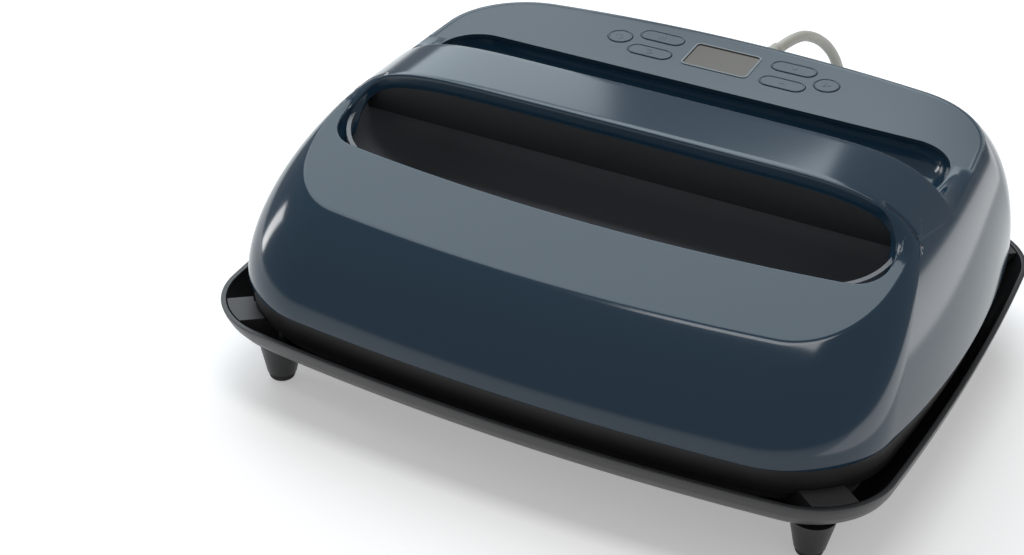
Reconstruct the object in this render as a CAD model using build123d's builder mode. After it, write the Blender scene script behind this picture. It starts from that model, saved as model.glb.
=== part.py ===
from build123d import *
import math
import os

os.makedirs("parts", exist_ok=True)

# Handheld heat press standing on its safety base, all sizes in millimetres.
# X runs along the handle, -Y is the front, Z = 0 is the table under the feet.

# Upper shell
SEAM_Z = 54.0
SEAM_HALF_X = 164.5
SEAM_FRONT = 136.3
SEAM_BACK = 139.4
CROWN_RISE = 80.6
SIDE_POWERS = (1.28, 8.5)
FRONT_POWERS = (1.82, 1.366)
BACK_POWERS = (1.2, 9.0)
SEAM_CORNER = 55.0
TOP_CORNER = 44.0
SEAM_FRONT_BOW_RADIUS = 1100.0
TOP_FRONT_BOW_RADIUS = 2040.0
SEAM_SIDE_BOW_RADIUS = 650.0
TOP_SIDE_BOW_RADIUS = 2500.0
SEAM_BACK_BOW_RADIUS = 1100.0
TOP_BACK_BOW_RADIUS = 675.0
BLEND_SHARE = 0.75
SECTION_SHARES = (0.0, 0.1, 0.25, 0.4, 0.55, 0.68, 0.79, 0.87, 0.93, 0.965, 0.985)
SHELL_WALL = 2.8
FACET_RISE = 69.85
FACET_SLOPE = 0.2713
PANEL_RISE = 57.06
PANEL_SLOPE = 0.0792
RIDGE_FRONT_Y = -25.0
RIDGE_BACK_Y = 15.0
RIDGE_BAND = 6.5
ARCH_SHARES = (0.0, 0.3, 0.5, 0.62, 0.71, 0.78, 0.84, 0.89)
RAMP_START_Y = -62.0
RAMP_RISES = ((-50.0, 1.6), (-40.0, 4.0), (-31.0, 10.0))

# Safety base
RIM_STAND_OFF_X = 4.0
RIM_STAND_OFF_Y = 4.65
RIM_Z = 43.5
RIM_HALF_X = SEAM_HALF_X + RIM_STAND_OFF_X
RIM_HALF_Y = (SEAM_FRONT + SEAM_BACK) / 2 + RIM_STAND_OFF_Y
RIM_CORNER = 41.0
RIM_BOW_RADIUS = 1100.0
RIM_SIDE_BOW_RADIUS = 1700.0
TRAY_UNDERSIDE_Z = 20.0
TRAY_WALL = 2.6
TRAY_FLOOR = 3.0
TRAY_FLOOR_DRAW_X = 12.5
TRAY_FLOOR_DRAW_Y = 21.5
TRAY_FLOOR_HALF_X = RIM_HALF_X - TRAY_FLOOR_DRAW_X
TRAY_FLOOR_HALF_Y = RIM_HALF_Y - TRAY_FLOOR_DRAW_Y
TRAY_SHOULDER_RISE = 8.0
TRAY_SHOULDER_DRAW_X = 6.0
TRAY_SHOULDER_DRAW_Y = 11.0
FLOOR_CORNER = 36.0
FLOOR_MAT_THICKNESS = 2.0
FLOOR_MAT_MARGIN = 9.0
FOOT_INSET_X = 22.0
FOOT_INSET_Y = 17.0
FOOT_X = TRAY_FLOOR_HALF_X - FOOT_INSET_X
FOOT_Y = TRAY_FLOOR_HALF_Y - FOOT_INSET_Y
FOOT_TOP_RADIUS = 10.5
FOOT_LOW_RADIUS = 7.0
TIP_RADIUS = 6.3
TIP_HEIGHT = 4.0
TIP_ROUND = 2.5
REST_WIDTH = 20.0
REST_LIP = 3.0
REST_SKIRT_GAP = 1.2
REST_SEAT_DEPTH = 4.5

# Finger cavity, grip and thumb groove
SLOT_END_MARGIN = 31.5
SLOT_HALF_LENGTH = SEAM_HALF_X - SLOT_END_MARGIN
SLOT_FRONT_Y = -65.0
SLOT_CORNER = 15.0
CAVITY_BACK_Y = 8.0
CAVITY_CORNER = 28.0
LINER_WALL = 2.0
LINER_STEP = 0.5
LINER_TOP_GAP = 0.6
LINER_FLOOR_RISE = 24.0
LINER_FLOOR_Z = SEAM_Z + LINER_FLOOR_RISE
LINER_FLOOR_FILLET = 22.0
GRIP_UNDERSIDE_RISE = 56.0
GRIP_UNDERSIDE_Z = SEAM_Z + GRIP_UNDERSIDE_RISE
GRIP_FRONT_FILLET = 12.0
GRIP_BACK_FILLET = 9.0
GRIP_SET_BACK = 0.4
GRIP_GAP = 0.3
GROOVE_HALF_LENGTH = SEAM_HALF_X - SLOT_END_MARGIN
GROOVE_BACK_Y = 66.0
GROOVE_CORNER = 22.0
GROOVE_FLOOR_RISE = 45.0
GROOVE_FLOOR_Z = SEAM_Z + GROOVE_FLOOR_RISE
GROOVE_FILLET = 15.0
GROOVE_WALL = 2.6
SLOT_FRONT_BOW_RADIUS = 1100.0

# Skirt and heating stack
SKIRT_HEIGHT = 14.0
SKIRT_BOTTOM_Z = SEAM_Z - SKIRT_HEIGHT
SKIRT_DRAW_IN = 4.2
SKIRT_STEP = 0.3
SKIRT_WALL = 2.6
SKIRT_SIDE_BOW_RADIUS = 1000.0
WEB_THICKNESS = 2.8
WEB_RING_X = 29.5
WEB_RING_Y = 30.85
WEB_OPENING_X = 2 * (SEAM_HALF_X - WEB_RING_X)
WEB_OPENING_Y = SEAM_FRONT + SEAM_BACK - 2 * WEB_RING_Y
WEB_CORNER = 20.0
PLATE_MARGIN_X = 12.0
PLATE_MARGIN_Y = 10.85
PLATE_LENGTH = 2 * (SEAM_HALF_X - PLATE_MARGIN_X)
PLATE_WIDTH = SEAM_FRONT + SEAM_BACK - 2 * PLATE_MARGIN_Y
PLATE_THICKNESS = 12.0
PLATE_CORNER = 50.0
PLATE_FRONT_BOW_RADIUS = 1300.0
PLATE_SIDE_BOW_RADIUS = 1000.0
PLATE_PROUD = 8.0
PLATE_UNDERSIDE_Z = SKIRT_BOTTOM_Z - PLATE_PROUD
PLATE_EDGE_CHAMFER = 1.2
STUD_INSET_X = 24.5
STUD_INSET_Y = 15.0
STUD_X = PLATE_LENGTH / 2 - STUD_INSET_X
STUD_Y = PLATE_WIDTH / 2 - STUD_INSET_Y
STUD_RADIUS = 3.5
INSULATION_INSET = 16.5
SHIELD_INSET = 15.5
INSULATION_THICKNESS = 5.0
SHIELD_THICKNESS = 1.0
STACK_HOLE_GAP = 0.6
ELEMENT_RADIUS = 3.5
ELEMENT_GROOVE_GAP = 0.1
ELEMENT_INSET_X = 32.5
ELEMENT_INSET_Y = 30.0
ELEMENT_X = PLATE_LENGTH / 2 - ELEMENT_INSET_X
ELEMENT_Y = PLATE_WIDTH / 2 - ELEMENT_INSET_Y
ELEMENT_LEAD_X = 14.0
ELEMENT_BEND = 30.0
ELEMENT_RISER_BEND = 8.0
ELEMENT_RISER_RISE = 6.0
ELEMENT_RISER_Z = SEAM_Z + ELEMENT_RISER_RISE
SENSOR_WINDOW_X = 70.0
SENSOR_WINDOW_Y = 45.0
SENSOR_WINDOW_SIZE = 34.0

# Control panel
PANEL_THICKNESS = 2.2
PANEL_CENTRE_Y = 94.0
PANEL_FRONT_GAP = 0.15
WINDOW_LENGTH = 136.0
WINDOW_WIDTH = 37.0
WINDOW_CORNER = 4.0
RIM_LENGTH = 35.6
RIM_WIDTH = 23.4
RIM_ROUND = 3.0
RIM_BAND = 1.0
RIM_PROUD = 0.3
LENS_GAP = 0.1
LENS_RECESS = 0.2
MODULE_LENGTH = 40.0
MODULE_WIDTH = 27.0
ROUND_BUTTON_RADIUS = 6.4
PILL_LENGTH = 23.5
PILL_WIDTH = 10.0
PILL_OFFSET_X = 35.5
ROW_OFFSET = 8.0
ROUND_OFFSET_X = 55.5
BUTTON_GAP = 0.25
BUTTON_PROUD = 0.15
FLANGE_WIDTH = 1.1
FLANGE_THICKNESS = 1.2
FLANGE_GAP = 0.1
STEM_RADIUS = 2.0
STEM_LENGTH = 0.9
BUTTON_TRAVEL = 0.6
TRAVEL_SPARE = 0.1
DOME_RADIUS = 3.5
DOME_HEIGHT = 0.5
KEYPAD_THICKNESS = 1.0
KEYPAD_WIDTH = 24.0
KEYPAD_INNER_X = 23.0
KEYPAD_OUTER_X = 65.0
BOARD_THICKNESS = 1.6
CONTROL_BOARD_LENGTH = 132.0
CONTROL_BOARD_WIDTH = 34.0
POST_X = 62.5
POST_OFFSET = 14.7
POST_RADIUS = 2.2
BOARD_SCREW_RADIUS = 1.2
BOARD_SCREW_LENGTH = 5.0
POST_ROOT = 0.5
BOARD_SCREW_HEAD_RADIUS = 2.4
BOARD_SCREW_HEAD = 1.8
PILOT_GAP = 0.05
BUZZER_RADIUS = 6.0
BUZZER_HEIGHT = 5.0
BUZZER_X = 45.0

# Shell fastening and electronics
BOSS_INSET_X = 22.5
BOSS_INSET_Y = 45.85
BOSS_X = SEAM_HALF_X - BOSS_INSET_X
BOSS_Y = (SEAM_FRONT + SEAM_BACK) / 2 - BOSS_INSET_Y
BOSS_RADIUS = 5.0
SHELL_SCREW_RADIUS = 1.8
SHELL_SCREW_DEPTH = 14.0
SHELL_SCREW_HEAD_RADIUS = 3.5
SHELL_SCREW_HEAD = 2.5
MAIN_BOARD_X = -54.0
MAIN_BOARD_INSET_Y = 21.4
MAIN_BOARD_Y = SEAM_BACK - MAIN_BOARD_INSET_Y
MAIN_BOARD_LENGTH = 78.0
MAIN_BOARD_HEIGHT = 43.0
HEAT_SINK_SIZE = (40.0, 14.0, 26.0)
HEAT_SINK_X = -37.0
HEAT_SINK_RISE = 10.0
FIN_COUNT = 6
FIN_SLOT = 3.0
FIN_DEPTH = 10.0
RELAY_SIZE = (18.0, 15.0, 21.0)
RELAY_X = -83.0
RELAY_RISE = 12.0
CAPACITOR_RADIUS = 3.0
CAPACITOR_HEIGHT = 9.0
CAPACITOR_XS = (-70.0, -62.0)
CAPACITOR_RISE = 16.0
TERMINAL_SIZE = (30.0, 14.0, 13.0)
TERMINAL_X = 36.0
TERMINAL_INSET_Y = 22.4
TERMINAL_Y = SEAM_BACK - TERMINAL_INSET_Y
TERMINAL_SCREW_RADIUS = 2.2
TERMINAL_SCREW_DEPTH = 1.0
TERMINAL_PITCH = 9.0

# Cord exit and cord
CORD_RADIUS = 2.9
EXIT_X = 2.2
EXIT_INSET_Y = 10.0
EXIT_RISE_Z = 43.6
EXIT_Y = SEAM_BACK - EXIT_INSET_Y
EXIT_Z = SEAM_Z + EXIT_RISE_Z
EXIT_TURN = 15.0
EXIT_RISE = 13.0
COLLAR_RADIUS = 9.5
COLLAR_INSIDE = 10.0
COLLAR_OUTSIDE = 3.2
RELIEF_NECK_RADIUS = 5.0
RELIEF_NECK_GAP = 0.1
RELIEF_FLANGE_RADIUS = 8.5
RELIEF_FLANGE = 2.0
RELIEF_ROOT_RADIUS = 6.4
RELIEF_TIP_RADIUS = 3.9
RELIEF_LENGTH = 17.8
RELIEF_RIBS = 4
RELIEF_RIB_DEPTH = 0.7
COIL_X = -100.0
COIL_Y = 222.0
COIL_FLOOR_Z = 4.2
COIL_OUTER_RADIUS = 44.4
COIL_PITCH = 6.4
COIL_TURNS = 3
COIL_TAIL = 34.0
COIL_START_STUB = 5.8
TIE_THICKNESS = 0.9
TIE_WIDTH = 10.0
TIE_GAP = 0.4
TIE_SIDE_GAP = 2.4
PLUG_BOOT_LENGTH = 18.0
PLUG_BOOT_RADIUS = 6.0
PLUG_BOOT_TIP_RADIUS = 4.0
PLUG_LENGTH = 32.0
PLUG_WIDTH = 28.0
PLUG_SHIFT_Y = -1.5
PLUG_ROUND = 4.0
BLADE_LENGTH = 16.5
BLADE_WIDTH = 6.4
BLADE_THICKNESS = 1.5
BLADE_SPREAD = 12.7
BLADE_SHIFT_Y = 3.5
GROUND_RADIUS = 2.4
GROUND_LENGTH = 20.5
GROUND_SHIFT_Y = -8.4


# Shared shapes

ABOVE_ALL = SEAM_Z + CROWN_RISE + 10
FAR_SIDE = SEAM_HALF_X + 20
PANEL_DROP = PANEL_THICKNESS * math.hypot(1, PANEL_SLOPE)


def bow_sag(half_length, radius):
    """How far an arc of that radius stands out over a side of that half length."""
    return radius - math.sqrt(radius**2 - half_length**2)


def bowed_section(z, half_x, front, back, side_radius, front_radius, back_radius, corner):
    """Level face at height z: a rounded rectangle whose four sides bow outwards."""
    half_y = (front + back) / 2
    side_x = half_x - bow_sag(half_y, side_radius)
    front_y = -front + bow_sag(half_x, front_radius)
    back_y = back - bow_sag(half_x, back_radius)
    middle_y = (front_y + back_y) / 2
    with BuildSketch(Plane.XY.offset(z)) as section:
        with BuildLine():
            ThreePointArc((-side_x, front_y), (0, -front), (side_x, front_y))
            ThreePointArc((side_x, front_y), (half_x, middle_y), (side_x, back_y))
            ThreePointArc((side_x, back_y), (0, back), (-side_x, back_y))
            ThreePointArc((-side_x, back_y), (-half_x, middle_y), (-side_x, front_y))
        make_face()
        fillet(section.vertices(), corner)
    return section.sketch


def narrowing(share, powers):
    """Width left at that share of the crown's rise, as a share of the width at the seam."""
    return (1 - share ** powers[0]) ** (1 / powers[1])


def shell_sections(inset):
    """Sections of the shell's full dome, drawn in by inset all over."""
    sections = []
    for share in SECTION_SHARES:
        blend = min(share / BLEND_SHARE, 1)
        side_bend = (1 - blend) / SEAM_SIDE_BOW_RADIUS + blend / TOP_SIDE_BOW_RADIUS
        front_bend = (1 - blend) / SEAM_FRONT_BOW_RADIUS + blend / TOP_FRONT_BOW_RADIUS
        back_bend = (1 - blend) / SEAM_BACK_BOW_RADIUS + blend / TOP_BACK_BOW_RADIUS
        sections.append(
            bowed_section(
                SEAM_Z + share * (CROWN_RISE - inset),
                SEAM_HALF_X * narrowing(share, SIDE_POWERS) - inset,
                SEAM_FRONT * narrowing(share, FRONT_POWERS) - inset,
                SEAM_BACK * narrowing(share, BACK_POWERS) - inset,
                1 / side_bend,
                1 / front_bend,
                1 / back_bend,
                SEAM_CORNER + blend * (TOP_CORNER - SEAM_CORNER) - inset,
            )
        )
    return sections


def facet_z(y):
    """Height of the sloping front facet at that y."""
    return SEAM_Z + FACET_RISE + FACET_SLOPE * y


def panel_z(y):
    """Height of the control panel's top at that y."""
    return SEAM_Z + PANEL_RISE + PANEL_SLOPE * y


def side_profile(points):
    """Face in the YZ plane through those (y, z) points."""
    with BuildSketch(Plane.YZ) as profile:
        with BuildLine():
            Polyline(*points, close=True)
        make_face()
    return profile.sketch


def body_profile(facet_drop, panel_drop):
    """Side view of the shell without its ridge: the two facets, lowered by those amounts."""
    far = SEAM_BACK + 20
    return side_profile([
        (-far, SEAM_Z),
        (-far, facet_z(-far) - facet_drop),
        (RIDGE_FRONT_Y, facet_z(RIDGE_FRONT_Y) - facet_drop),
        (RIDGE_BACK_Y, panel_z(RIDGE_BACK_Y) - panel_drop),
        (far, panel_z(far) - panel_drop),
        (far, SEAM_Z),
    ])


def ridge_profile(inset, front_low_z, back_low_z):
    """Side view of the ridge, set in by inset, down to a height in front and one behind."""
    return side_profile([
        (RIDGE_FRONT_Y + inset, front_low_z),
        (RIDGE_FRONT_Y + inset, ABOVE_ALL),
        (RIDGE_BACK_Y - inset, ABOVE_ALL),
        (RIDGE_BACK_Y - inset, back_low_z),
    ])


def ramp_profile():
    """Side view of the ramp that leads up to the ridge at both ends of the slot."""
    with BuildSketch(Plane.YZ) as profile:
        with BuildLine():
            Spline(
                (RAMP_START_Y, facet_z(RAMP_START_Y)),
                *[(y, facet_z(y) + rise) for y, rise in RAMP_RISES],
                (RIDGE_FRONT_Y, SEAM_Z + CROWN_RISE),
            )
            Polyline(
                (RIDGE_FRONT_Y, SEAM_Z + CROWN_RISE),
                (RIDGE_FRONT_Y + SHELL_WALL, SEAM_Z + CROWN_RISE),
                (RIDGE_FRONT_Y + SHELL_WALL, facet_z(RIDGE_FRONT_Y) - SHELL_WALL),
                (RAMP_START_Y, facet_z(RAMP_START_Y) - SHELL_WALL),
                (RAMP_START_Y, facet_z(RAMP_START_Y)),
            )
        make_face()
    return profile.sketch


def arch_point(share, inset):
    """Point (x, z) of the ridge's arch at that share of the half width, set in by inset."""
    span = CROWN_RISE * (1 - share ** SIDE_POWERS[1]) ** (1 / SIDE_POWERS[0])
    slope = -(
        CROWN_RISE / SEAM_HALF_X * SIDE_POWERS[1] / SIDE_POWERS[0]
        * share ** (SIDE_POWERS[1] - 1)
        * (1 - share ** SIDE_POWERS[1]) ** (1 / SIDE_POWERS[0] - 1)
    )
    length = math.hypot(1, slope)
    return SEAM_HALF_X * share + inset * slope / length, SEAM_Z + span - inset / length


def arch_profile(inset, low_z):
    """Front view of the ridge's arch, set in by inset and cut off level at low_z."""
    right = [arch_point(share, inset) for share in ARCH_SHARES]
    left = [(-x, z) for x, z in reversed(right[1:])]
    end_x, end_z = right[-1]
    with BuildSketch(Plane.XZ) as profile:
        with BuildLine():
            Spline(*left, *right)
            Polyline((end_x, end_z), (end_x, low_z), (-end_x, low_z), (-end_x, end_z))
        make_face()
    return profile.sketch


def slot_face(z, back_y, corner, grow):
    """Level face of a slot whose front edge bows with the casing, grown outwards by grow."""
    half_x = SLOT_HALF_LENGTH + grow
    front_y = SLOT_FRONT_Y - grow
    end_y = front_y + bow_sag(half_x, SLOT_FRONT_BOW_RADIUS)
    with BuildSketch(Plane.XY.offset(z)) as outline:
        with BuildLine():
            ThreePointArc((-half_x, end_y), (0, front_y), (half_x, end_y))
            Polyline(
                (half_x, end_y),
                (half_x, back_y + grow),
                (-half_x, back_y + grow),
                (-half_x, end_y),
            )
        make_face()
        fillet(outline.vertices(), corner + grow)
    return outline.sketch


def slot_outline(z):
    """Level face of the finger slot seen from above, in front of the ridge."""
    return slot_face(z, RIDGE_FRONT_Y, SLOT_CORNER, 0)


def cavity_outline(z, grow):
    """Level face of the finger cavity that reaches under the ridge, grown outwards by grow."""
    return slot_face(z, CAVITY_BACK_Y, CAVITY_CORNER, grow)


def groove_outline(z, grow):
    """Level face of the thumb groove's outline, grown outwards by grow."""
    centre_y = (RIDGE_BACK_Y + GROOVE_BACK_Y) / 2
    with BuildSketch(Plane.XY.offset(z)) as outline:
        with Locations((0, centre_y)):
            RectangleRounded(
                2 * (GROOVE_HALF_LENGTH + grow),
                GROOVE_BACK_Y - RIDGE_BACK_Y + 2 * grow,
                GROOVE_CORNER + grow,
            )
    return outline.sketch


# Safety base: tray

def tray_sections(inset, floor_z):
    """Three level sections of the tray, drawn in by inset."""
    heights = (floor_z, floor_z + TRAY_SHOULDER_RISE, RIM_Z)
    half_xs = (TRAY_FLOOR_HALF_X, RIM_HALF_X - TRAY_SHOULDER_DRAW_X, RIM_HALF_X)
    half_ys = (TRAY_FLOOR_HALF_Y, RIM_HALF_Y - TRAY_SHOULDER_DRAW_Y, RIM_HALF_Y)
    corners = (FLOOR_CORNER, (FLOOR_CORNER + RIM_CORNER) / 2, RIM_CORNER)
    return [
        bowed_section(
            z,
            half_x - inset,
            half_y - inset,
            half_y - inset,
            RIM_SIDE_BOW_RADIUS,
            RIM_BOW_RADIUS,
            RIM_BOW_RADIUS,
            corner - inset,
        )
        for z, half_x, half_y, corner in zip(heights, half_xs, half_ys, corners)
    ]


TRAY_FLOOR_Z = TRAY_UNDERSIDE_Z + TRAY_FLOOR

with BuildPart() as tray_room:
    loft(tray_sections(TRAY_WALL, TRAY_FLOOR_Z))

with BuildPart() as tray:
    loft(tray_sections(0, TRAY_UNDERSIDE_Z))
    add(tray_room.part, mode=Mode.SUBTRACT)
tray.part.label = "tray"
export_step(tray.part, "parts/tray.step")

# Safety base: heat-proof mat on the tray floor
with BuildPart() as floor_mat:
    extrude(
        bowed_section(
            TRAY_FLOOR_Z,
            TRAY_FLOOR_HALF_X - FLOOR_MAT_MARGIN,
            TRAY_FLOOR_HALF_Y - FLOOR_MAT_MARGIN,
            TRAY_FLOOR_HALF_Y - FLOOR_MAT_MARGIN,
            RIM_SIDE_BOW_RADIUS,
            RIM_BOW_RADIUS,
            RIM_BOW_RADIUS,
            FLOOR_CORNER - FLOOR_MAT_MARGIN,
        ),
        amount=FLOOR_MAT_THICKNESS,
    )
floor_mat.part.label = "floor_mat"
export_step(floor_mat.part, "parts/floor_mat.step")

# Safety base: four tapered feet with rubber tips
CORNERS = {
    "front_left": (-1, -1),
    "front_right": (1, -1),
    "back_left": (-1, 1),
    "back_right": (1, 1),
}
for corner_name, (side_x, side_y) in CORNERS.items():
    with BuildPart() as foot:
        with BuildSketch(Plane.XY.offset(TIP_HEIGHT)):
            with Locations((side_x * FOOT_X, side_y * FOOT_Y)):
                Circle(FOOT_LOW_RADIUS)
        with BuildSketch(Plane.XY.offset(TRAY_UNDERSIDE_Z)):
            with Locations((side_x * FOOT_X, side_y * FOOT_Y)):
                Circle(FOOT_TOP_RADIUS)
        loft()
    foot.part.label = f"foot_{corner_name}"
    export_step(foot.part, f"parts/foot_{corner_name}.step")

    with BuildPart() as foot_tip:
        with BuildSketch():
            with Locations((side_x * FOOT_X, side_y * FOOT_Y)):
                Circle(TIP_RADIUS)
        extrude(amount=TIP_HEIGHT)
        fillet(foot_tip.faces().sort_by(Axis.Z)[0].edges(), TIP_ROUND)
    foot_tip.part.label = f"foot_tip_{corner_name}"
    export_step(foot_tip.part, f"parts/foot_tip_{corner_name}.step")

# Skirt: black ring under the seam, with an inner web that carries shell and plate

def skirt_section(z, draw_in, side_radius):
    """Level section of the skirt, drawn in from the seam by draw_in."""
    return bowed_section(
        z,
        SEAM_HALF_X - draw_in,
        SEAM_FRONT - draw_in,
        SEAM_BACK - draw_in,
        side_radius,
        SEAM_FRONT_BOW_RADIUS,
        SEAM_BACK_BOW_RADIUS,
        SEAM_CORNER - draw_in,
    )


WEB_UNDERSIDE_Z = SEAM_Z - WEB_THICKNESS
SEAT_POINTS = [(side_x * BOSS_X, side_y * BOSS_Y) for side_x, side_y in CORNERS.values()]
STUD_POINTS = [(side_x * STUD_X, side_y * STUD_Y) for side_x, side_y in CORNERS.values()]

with BuildPart() as skirt:
    loft([
        skirt_section(SKIRT_BOTTOM_Z, SKIRT_DRAW_IN, SKIRT_SIDE_BOW_RADIUS),
        skirt_section(SEAM_Z, SKIRT_STEP, SEAM_SIDE_BOW_RADIUS),
    ])
    loft(
        [
            skirt_section(SKIRT_BOTTOM_Z, SKIRT_DRAW_IN + SKIRT_WALL, SKIRT_SIDE_BOW_RADIUS),
            skirt_section(WEB_UNDERSIDE_Z, SKIRT_STEP + SKIRT_WALL, SEAM_SIDE_BOW_RADIUS),
        ],
        mode=Mode.SUBTRACT,
    )
    with BuildSketch(Plane.XY.offset(WEB_UNDERSIDE_Z)):
        RectangleRounded(WEB_OPENING_X, WEB_OPENING_Y, WEB_CORNER)
        with Locations(*SEAT_POINTS):
            Circle(SHELL_SCREW_RADIUS + PILOT_GAP)
    extrude(amount=WEB_THICKNESS, mode=Mode.SUBTRACT)
skirt.part.label = "skirt"
export_step(skirt.part, "parts/skirt.step")

# Heat plate with the groove of its heating element
PLATE_TOP_Z = PLATE_UNDERSIDE_Z + PLATE_THICKNESS
GROOVE_WIDTH = 2 * (ELEMENT_RADIUS + ELEMENT_GROOVE_GAP)
ELEMENT_Z = PLATE_TOP_Z - ELEMENT_RADIUS - ELEMENT_GROOVE_GAP
ELEMENT_CORNERS = [
    (-ELEMENT_LEAD_X, ELEMENT_Y),
    (-ELEMENT_X, ELEMENT_Y),
    (-ELEMENT_X, -ELEMENT_Y),
    (ELEMENT_X, -ELEMENT_Y),
    (ELEMENT_X, ELEMENT_Y),
    (ELEMENT_LEAD_X, ELEMENT_Y),
]


def plate_outline(z, inset):
    """Level face of the heat plate's outline, drawn in by inset."""
    return bowed_section(
        z,
        PLATE_LENGTH / 2 - inset,
        PLATE_WIDTH / 2 - inset,
        PLATE_WIDTH / 2 - inset,
        PLATE_SIDE_BOW_RADIUS,
        PLATE_FRONT_BOW_RADIUS,
        PLATE_FRONT_BOW_RADIUS,
        PLATE_CORNER - inset,
    )


with BuildPart() as heat_plate:
    extrude(plate_outline(PLATE_UNDERSIDE_Z, 0), amount=PLATE_THICKNESS)
    chamfer(heat_plate.faces().sort_by(Axis.Z)[0].edges(), PLATE_EDGE_CHAMFER)
    with BuildSketch(Plane.XY.offset(PLATE_TOP_Z)) as groove_sketch:
        with BuildLine():
            FilletPolyline(*ELEMENT_CORNERS, radius=ELEMENT_BEND)
            offset(amount=GROOVE_WIDTH / 2, side=Side.BOTH)
        make_face()
    extrude(amount=-GROOVE_WIDTH, mode=Mode.SUBTRACT)
heat_plate.part.label = "heat_plate"
export_step(heat_plate.part, "parts/heat_plate.step")

# Tubular heating element with its two risers
with BuildPart() as heating_element:
    with BuildLine() as element_path:
        FilletPolyline(
            (-ELEMENT_LEAD_X, ELEMENT_Y, ELEMENT_RISER_Z),
            *[(x, y, ELEMENT_Z) for x, y in ELEMENT_CORNERS],
            (ELEMENT_LEAD_X, ELEMENT_Y, ELEMENT_RISER_Z),
            radius=[ELEMENT_RISER_BEND] + [ELEMENT_BEND] * 4 + [ELEMENT_RISER_BEND],
        )
    with BuildSketch(Plane(origin=element_path.line @ 0, z_dir=element_path.line % 0)):
        Circle(ELEMENT_RADIUS)
    sweep(path=element_path.line)
heating_element.part.label = "heating_element"
export_step(heating_element.part, "parts/heating_element.step")


# Safety base: corner rests that carry the skirt's lower edge, clear of the plate
for corner_name, (side_x, side_y) in CORNERS.items():
    reach_x = side_x * (RIM_HALF_X - RIM_CORNER / 2)
    reach_y = side_y * (RIM_HALF_Y - RIM_CORNER / 2)
    turn = math.degrees(math.atan2(reach_y, reach_x))
    with BuildPart() as corner_rest:
        add(tray_room.part)
        with BuildSketch(Plane.XY.offset(TRAY_FLOOR_Z).rotated((0, 0, turn))):
            with Locations((RIM_HALF_X / 2, 0)):
                Rectangle(RIM_HALF_X + RIM_HALF_Y, REST_WIDTH, align=(Align.MIN, Align.CENTER))
        extrude(amount=SKIRT_BOTTOM_Z + REST_LIP - TRAY_FLOOR_Z, mode=Mode.INTERSECT)
        extrude(
            skirt_section(SKIRT_BOTTOM_Z, SKIRT_DRAW_IN - REST_SKIRT_GAP, SKIRT_SIDE_BOW_RADIUS),
            amount=REST_LIP,
            mode=Mode.SUBTRACT,
        )
        extrude(
            skirt_section(
                TRAY_FLOOR_Z,
                SKIRT_DRAW_IN + REST_SEAT_DEPTH,
                SKIRT_SIDE_BOW_RADIUS,
            ),
            amount=SKIRT_BOTTOM_Z - TRAY_FLOOR_Z,
            mode=Mode.SUBTRACT,
        )
    corner_rest.part.label = f"corner_rest_{corner_name}"
    export_step(corner_rest.part, f"parts/corner_rest_{corner_name}.step")


# Insulation board and heat shield on the plate

def stack_sheet(z, inset):
    """Level face over the plate with the holes that studs, risers and sensors need."""
    with BuildSketch(Plane.XY.offset(z)) as sheet:
        add(plate_outline(z, inset))
        with Locations(*STUD_POINTS):
            Circle(STUD_RADIUS + STACK_HOLE_GAP, mode=Mode.SUBTRACT)
        with Locations((-ELEMENT_LEAD_X - ELEMENT_RISER_BEND / 2, ELEMENT_Y),
                       (ELEMENT_LEAD_X + ELEMENT_RISER_BEND / 2, ELEMENT_Y)):
            SlotOverall(
                ELEMENT_RISER_BEND + 2 * (ELEMENT_RADIUS + STACK_HOLE_GAP),
                2 * (ELEMENT_RADIUS + STACK_HOLE_GAP),
                mode=Mode.SUBTRACT,
            )
        with Locations((SENSOR_WINDOW_X, SENSOR_WINDOW_Y)):
            Rectangle(SENSOR_WINDOW_SIZE, SENSOR_WINDOW_SIZE, mode=Mode.SUBTRACT)
    return sheet.sketch


SHIELD_Z = PLATE_TOP_Z + INSULATION_THICKNESS

with BuildPart() as insulation_board:
    extrude(stack_sheet(PLATE_TOP_Z, INSULATION_INSET), amount=INSULATION_THICKNESS)
insulation_board.part.label = "insulation_board"
export_step(insulation_board.part, "parts/insulation_board.step")

with BuildPart() as heat_shield:
    extrude(stack_sheet(SHIELD_Z, SHIELD_INSET), amount=SHIELD_THICKNESS)
heat_shield.part.label = "heat_shield"
export_step(heat_shield.part, "parts/heat_shield.step")

# Four studs hang the plate from the skirt's web
with BuildPart() as plate_studs:
    with BuildSketch(Plane.XY.offset(PLATE_TOP_Z)):
        with Locations(*STUD_POINTS):
            Circle(STUD_RADIUS)
    extrude(amount=WEB_UNDERSIDE_Z - PLATE_TOP_Z)
plate_studs.part.label = "plate_studs"
export_step(plate_studs.part, "parts/plate_studs.step")

# Temperature sensor and thermal fuse on the plate
SENSOR_SIZE = (14.0, 8.0, 4.0)
FUSE_SIZE = (16.0, 5.0, 4.5)
SENSOR_OFFSET = 8.0
with BuildPart() as temperature_sensor:
    with Locations((SENSOR_WINDOW_X, SENSOR_WINDOW_Y - SENSOR_OFFSET, PLATE_TOP_Z)):
        Box(*SENSOR_SIZE, align=(Align.CENTER, Align.CENTER, Align.MIN))
    fillet(temperature_sensor.faces().sort_by(Axis.Z)[-1].edges(), 1.0)
temperature_sensor.part.label = "temperature_sensor"
export_step(temperature_sensor.part, "parts/temperature_sensor.step")

with BuildPart() as thermal_fuse:
    with Locations((SENSOR_WINDOW_X, SENSOR_WINDOW_Y + SENSOR_OFFSET, PLATE_TOP_Z)):
        Box(*FUSE_SIZE, align=(Align.CENTER, Align.CENTER, Align.MIN))
    fillet(thermal_fuse.edges().filter_by(Axis.X).group_by(Axis.Z)[-1], 1.5)
thermal_fuse.part.label = "thermal_fuse"
export_step(thermal_fuse.part, "parts/thermal_fuse.step")

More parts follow.
